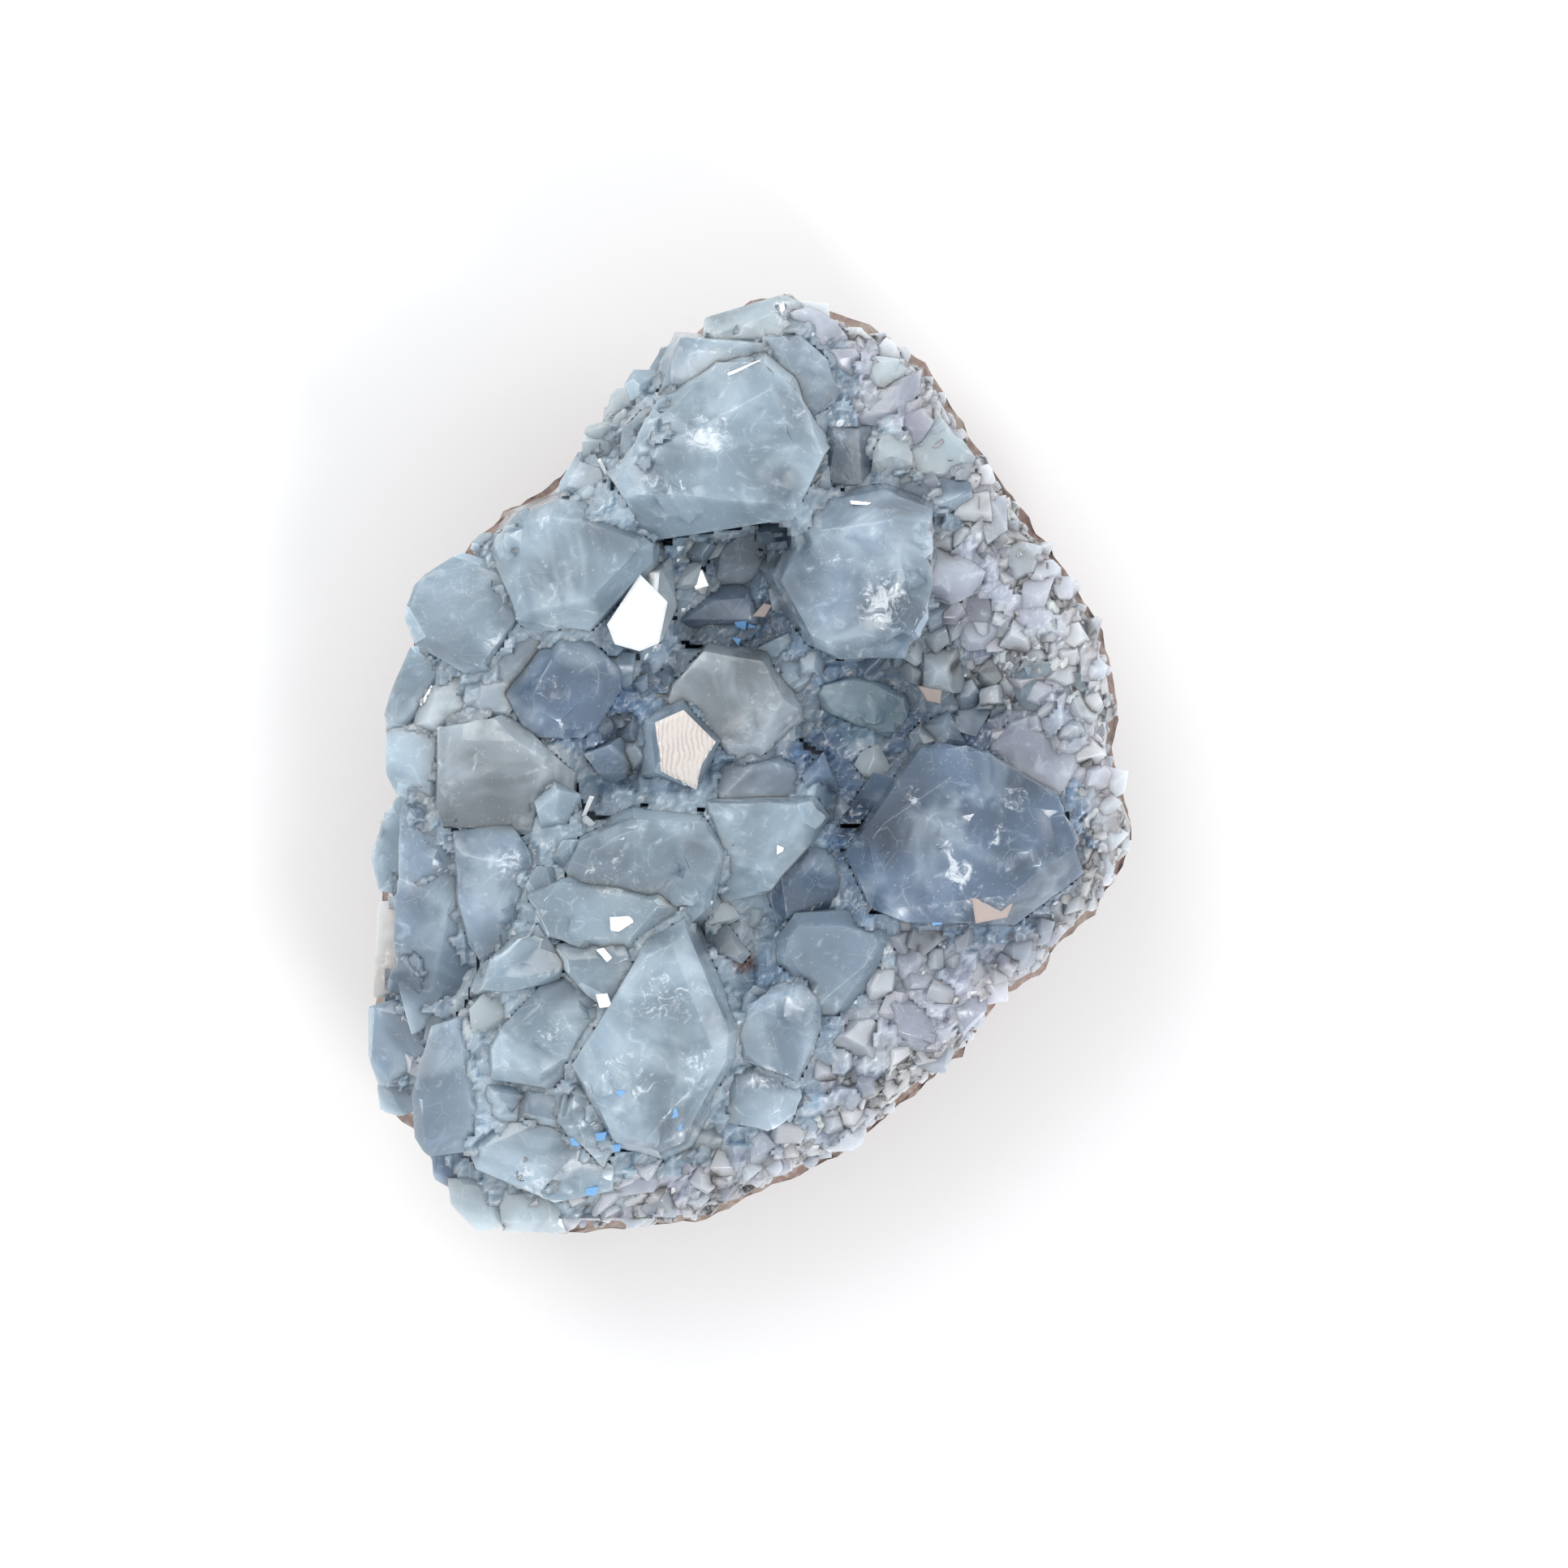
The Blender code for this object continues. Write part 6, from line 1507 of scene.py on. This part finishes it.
def infill_body(look):
    """Intergrown crust that closes the gaps between neighbouring crystals."""
    step = look.infill_step
    xs = np.arange(CAD_LOW[0] / MM, CAD_HIGH[0] / MM, step)
    ys = np.arange(CAD_LOW[1] / MM, CAD_HIGH[1] / MM, step)
    places = [(x, y) for y in ys for x in xs]
    shape = (len(ys), len(xs))
    heights, tints = seen_from_above(("large_crystals", "gap_crystals", "rim_crystals"), places)
    below, _ = seen_from_above(("druse_bed", "hollow_crystals", "geode_wall"), places)
    small, small_tints = seen_from_above(("hollow_crystals",), places)
    near_rim = np.array([
        smooth(0.7, 0.86, math.hypot(x, y) / outline_radius(math.atan2(y, x))) for x, y in places
    ])
    proud = (near_rim > 0) & (small > heights)
    heights = np.where(proud, small, heights).reshape(shape)
    tints = np.where(proud[:, None], small_tints, tints)
    near_rim = near_rim.reshape(shape)
    surface = np.maximum(heights, below.reshape(shape))
    tints = tints.reshape((*shape, 3))
    steep = 1 - 0.6 * near_rim
    spread = np.full(shape, -100.0)
    colors = np.zeros((*shape, 3))
    cells = int(look.infill_reach / step)
    offsets = []
    for down in range(-cells, cells + 1):
        for right in range(-cells, cells + 1):
            reach = math.hypot(down, right) * step
            if reach <= look.infill_reach:
                rows = slice(cells + down, cells + down + shape[0])
                columns = slice(cells + right, cells + right + shape[1])
                offsets.append((rows, columns, reach * look.infill_slope))
    padded = np.pad(heights, cells, constant_values=-100.0)
    padded_tints = np.pad(tints, ((cells, cells), (cells, cells), (0, 0)))
    for rows, columns, fall in offsets:
        level = padded[rows, columns] - fall * steep
        higher = level > spread
        spread[higher] = level[higher]
        colors[higher] = padded_tints[rows, columns][higher]
    padded = np.pad(spread, cells, mode="edge")
    skirt = np.full(shape, 1000.0)
    for rows, columns, fall in offsets:
        skirt = np.minimum(skirt, padded[rows, columns] + fall * steep)
    skirt -= look.infill_drop * (1 - 0.8 * near_rim)
    inside = np.zeros(shape, dtype=bool)
    for number, (x, y) in enumerate(places):
        share = math.hypot(x, y) / outline_radius(math.atan2(y, x))
        inside[number // shape[1], number % shape[1]] = share < 0.972
    open_cells = (skirt > surface - 0.05) & inside
    near = open_cells.copy()
    near[1:, :] |= open_cells[:-1, :]
    near[:-1, :] |= open_cells[1:, :]
    near[:, 1:] |= open_cells[:, :-1]
    near[:, :-1] |= open_cells[:, 1:]
    near &= inside
    lowest = np.pad(np.where(open_cells, skirt, 1000.0), 1, constant_values=1000.0)
    beside = np.full(shape, 1000.0)
    for down in range(3):
        for right in range(3):
            beside = np.minimum(beside, lowest[down:down + shape[0], right:right + shape[1]])
    skirt = np.where(open_cells, skirt, np.minimum(skirt, beside + 0.3))
    bm = bmesh.new()
    tint = bm.verts.layers.float_color.new("tint")
    corners = {}
    for row, column in zip(*np.nonzero(near)):
        x, y = xs[column], ys[row]
        spot = Vector((x, y, 0.4 * skirt[row, column]))
        facet = 1.5 * steps_at(spot, 2.6, 5.0) + 0.5 * steps_at(spot, 1.3, 6.0)
        level = skirt[row, column] + facet * (1 + 0.5 * near_rim[row, column])
        vert = bm.verts.new((x, y, level))
        # Darker in the gaps listed in SHADES: painted shade.
        hollow = max(1 - smooth(0.55, 1.0, math.dist(shade[:2], (x, y)) / shade[2]) for shade in SHADES)
        tone = Vector(colors[row, column] * (1.08 - hollow * np.array((0.42, 0.36, 0.28))))
        tone = tone.lerp(Vector((0.305, 0.376, 0.456)), 0.3 * (1 - hollow))
        share = math.hypot(x, y) / outline_radius(math.atan2(y, x))
        outer = smooth(0.88, 0.96, share) * (1 - smooth(0.9, 1.3, abs(math.atan2(y, x))))
        tone = tone.lerp(Vector(linear((180, 172, 170))), 0.5 * outer)
        rust = max(1 - smooth(0.4, 1.0, math.dist(spot[:2], (x, y)) / spot[2]) for spot in RUST)
        tone = tone.lerp(Vector(linear((122, 90, 80))), 0.8 * rust)
        vert[tint] = (*tone, 1.0)
        corners[row, column] = vert
    for row, column in list(corners):
        around = [(row, column), (row, column + 1), (row + 1, column + 1), (row + 1, column)]
        if all(corner in corners for corner in around) and any(open_cells[corner] for corner in around):
            verts = [corners[corner] for corner in around]
            levels = [vert.co.z for vert in verts]
            if max(levels) - min(levels) > STEEPEST_STEP:
                continue
            bm.faces.new(verts[:3])
            bm.faces.new((verts[0], verts[2], verts[3]))
    bmesh.ops.delete(bm, geom=[vert for vert in bm.verts if not vert.link_faces], context="VERTS")
    bmesh.ops.scale(bm, vec=(MM, MM, MM), verts=bm.verts)
    return bm


class CELESTITE_OT_infill(bpy.types.Operator):
    """Build the intergrown crust between the crystals"""

    bl_idname = "celestite.infill"
    bl_label = "Intergrown crust"

    def execute(self, context):
        crust = make_object("intergrown_crust", infill_body(settings().crystals), [crust_material("intergrown crust")])
        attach(crust, "root")
        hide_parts("crystals")
        return {"FINISHED"}


def glint_material(name, color, roughness):
    """Clean small facet, its colour painted as the highlight or reflection that it shows."""
    sh = Shader(name)
    lines = sh.noise(1.2, 4.0, 0.6, 0.8)
    tone = sh.mix(0.35 * lines.ease(0.45, 0.7), color, tuple(0.75 * part for part in color))
    return sh.finish(sh.principled(
        Base_Color=tone, Roughness=roughness + 0.1 * lines, IOR=1.62, Normal=sh.bump(lines, 0.04, 0.0002)
    ))


def grown_material():
    """Facet painted warm white as the reflection that it shows, with fine wavy growth lines."""
    sh = Shader("facet with growth lines")
    waves = sh.node(
        "ShaderNodeTexWave", {"bands_direction": "X"},
        {"Vector": sh.place, "Scale": 0.6, "Distortion": 9.0, "Detail": 4.0, "Detail Scale": 0.7}, "Fac",
    )
    line = (1 - waves).ease(0.55, 1.0) * sh.noise(0.3, 3.0).ease(0.35, 0.6)
    # Warm white base: painted reflection; the darker lines are growth lines.
    tone = sh.mix(line * 0.5, linear((214, 206, 200)), linear((150, 144, 142)))
    return sh.finish(sh.principled(
        Base_Color=tone, Roughness=0.22 + 0.2 * line, IOR=1.62, Normal=sh.bump(waves, 0.4, 0.0002)
    ))


def glint_cluster():
    """Thin facets, painted as highlights and reflections, laid on the crystals where the light glints."""
    ground = []
    for name in ("large_crystals", "gap_crystals", "rim_crystals", "hollow_crystals"):
        ground.append(BVHTree.FromObject(bpy.data.objects[name], bpy.context.evaluated_depsgraph_get()))
    slopes = {"white": (-58, 20), "blue": (-100, 17), "peach": (-35, 13), "grown": (-30, 15)}
    finishes = list(slopes)
    bm = bmesh.new()
    for finish, outline in GLINTS:
        normal = tilted(*slopes[finish])
        middle = Vector((sum(c[0] for c in outline), sum(c[1] for c in outline), 0)) / len(outline)
        level = -100.0
        for x, y in (*outline, middle[:2]):
            for tree in ground:
                hit = tree.ray_cast(Vector((x, y, 200)) * MM, Vector((0, 0, -1)))[0]
                if hit:
                    slant = (normal.x * (x - middle.x) + normal.y * (y - middle.y)) / normal.z
                    level = max(level, hit.z / MM + slant)
        level += 0.08 if finish == "grown" else -0.25
        rings = []
        for share, drop in ((0.88, 0.0), (1.0, 0.12), (0.6, 2.2)):
            ring = []
            for x, y in outline:
                spot = middle + (Vector((x, y, 0)) - middle) * share
                slant = (normal.x * (spot.x - middle.x) + normal.y * (spot.y - middle.y)) / normal.z
                ring.append(bm.verts.new((spot.x, spot.y, level - slant - drop)))
            rings.append(ring)
        faces = [bm.faces.new(rings[0]), bm.faces.new(rings[-1][::-1])]
        for upper, lower in zip(rings, rings[1:]):
            for step in range(len(outline)):
                after = (step + 1) % len(outline)
                faces.append(bm.faces.new((upper[after], upper[step], lower[step], lower[after])))
        for face in faces:
            face.material_index = finishes.index(finish)
    bmesh.ops.recalc_face_normals(bm, faces=bm.faces)
    bmesh.ops.scale(bm, vec=(MM, MM, MM), verts=bm.verts)
    return bm


class CELESTITE_OT_glints(bpy.types.Operator):
    """Build the small facets painted as highlights and reflections"""

    bl_idname = "celestite.glints"
    bl_label = "Bright facets"

    def execute(self, context):
        facets = make_object("bright_facets", glint_cluster(), [
            # Each facet is coloured as the highlight or reflection that it shows: painted light.
            glint_material("painted white highlight", (0.8, 0.83, 0.84), 0.03),
            glint_material("painted blue reflection", linear((120, 172, 222)), 0.1),
            glint_material("painted peach reflection", linear((172, 158, 152)), 0.2),
            grown_material(),
        ])
        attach(facets, "root")
        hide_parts("crystals")
        return {"FINISHED"}


class CELESTITE_OT_hollow(bpy.types.Operator):
    """Build the small crystals in the hollow"""

    bl_idname = "celestite.hollow"
    bl_label = "Hollow crystals"

    def execute(self, context):
        place_crystals("hollow_crystals", hollow_cluster(settings().crystals), 0.7, 0.1)
        return {"FINISHED"}


def panel_light(name, azimuth, elevation, distance, width, radiance, color=(1, 1, 1)):
    """A square soft light that faces the specimen."""
    a = math.radians(azimuth)
    e = math.radians(elevation)
    away = Vector((math.cos(a) * math.cos(e), math.sin(a) * math.cos(e), math.sin(e)))
    data = bpy.data.lights.new(name, "AREA")
    data.shape = "SQUARE"
    data.size = width
    data.energy = radiance * math.pi * width * width
    data.color = color
    light = bpy.data.objects.new(name, data)
    light.location = Vector((0, 0, 0.03)) + away * distance
    light.rotation_euler = away.to_track_quat("Z", "Y").to_euler()
    bpy.context.scene.collection.objects.link(light)
    return light


class CELESTITE_OT_stage(bpy.types.Operator):
    """Add the plain floor, the soft light and the camera above the specimen"""

    bl_idname = "celestite.stage"
    bl_label = "Stage"

    def execute(self, context):
        look = settings().stage
        scene = context.scene
        bm = bmesh.new()
        bmesh.ops.create_circle(bm, cap_ends=True, segments=96, radius=3.0)
        sh = Shader("pale floor")
        floor = make_object("floor", bm, [sh.finish(sh.principled(
            Base_Color=(*look.floor_tone, 1.0), Roughness=0.9
        ))])
        world = bpy.data.worlds.new("soft light")
        scene.world = world
        world.use_nodes = True
        background = world.node_tree.nodes["Background"]
        background.inputs["Color"].default_value = (0.95, 0.97, 1.0, 1.0)
        background.inputs["Strength"].default_value = 0.95
        panel_light("upper left panel", 125, 52, 1.2, 0.7, 3.2, (1.0, 0.98, 0.95))
        panel_light("right panel", 10, 35, 1.3, 0.5, 2.2, (1.0, 0.97, 0.94))
        panel_light("window", -58, 50, 1.2, 0.27, 15.0, (1.0, 0.99, 0.98))
        data = bpy.data.cameras.new("camera")
        data.lens = look.lens
        camera = bpy.data.objects.new("camera", data)
        distance = look.frame_width / 2 / math.tan(math.atan(data.sensor_width / 2 / data.lens))
        camera.location = Vector(look.target) + Vector((0, 0, distance))
        data.clip_start = 0.05
        data.clip_end = 20
        scene.collection.objects.link(camera)
        scene.camera = camera
        scene.view_settings.view_transform = "Standard"
        return {"FINISHED"}


class CELESTITE_PT_panel(bpy.types.Panel):
    """Celestite crystal cluster"""

    bl_label = "Celestite"
    bl_space_type = "VIEW_3D"
    bl_region_type = "UI"
    bl_category = "Celestite"

    def draw(self, context):
        for operator in OPERATORS:
            self.layout.operator(operator.bl_idname)
        for group in (settings().wall, settings().crystals, settings().stage):
            box = self.layout.box()
            for name in group.bl_rna.properties.keys():
                if name not in ("rna_type", "name"):
                    box.prop(group, name)


GROUPS = (WallLook, CrystalLook, StageLook, Celestite)
OPERATORS = (
    CELESTITE_OT_wall, CELESTITE_OT_bed, CELESTITE_OT_large, CELESTITE_OT_gaps, CELESTITE_OT_rim,
    CELESTITE_OT_hollow, CELESTITE_OT_infill, CELESTITE_OT_glints, CELESTITE_OT_stage,
)


def register():
    for item in (*GROUPS, *OPERATORS, CELESTITE_PT_panel):
        bpy.utils.register_class(item)
    bpy.types.Scene.celestite = PointerProperty(type=Celestite)


def unregister():
    del bpy.types.Scene.celestite
    for item in reversed((*GROUPS, *OPERATORS, CELESTITE_PT_panel)):
        bpy.utils.unregister_class(item)


def main():
    register()
    for item in OPERATORS:
        group, name = item.bl_idname.split(".")
        getattr(getattr(bpy.ops, group), name)()


if __name__ == "__main__":
    main()
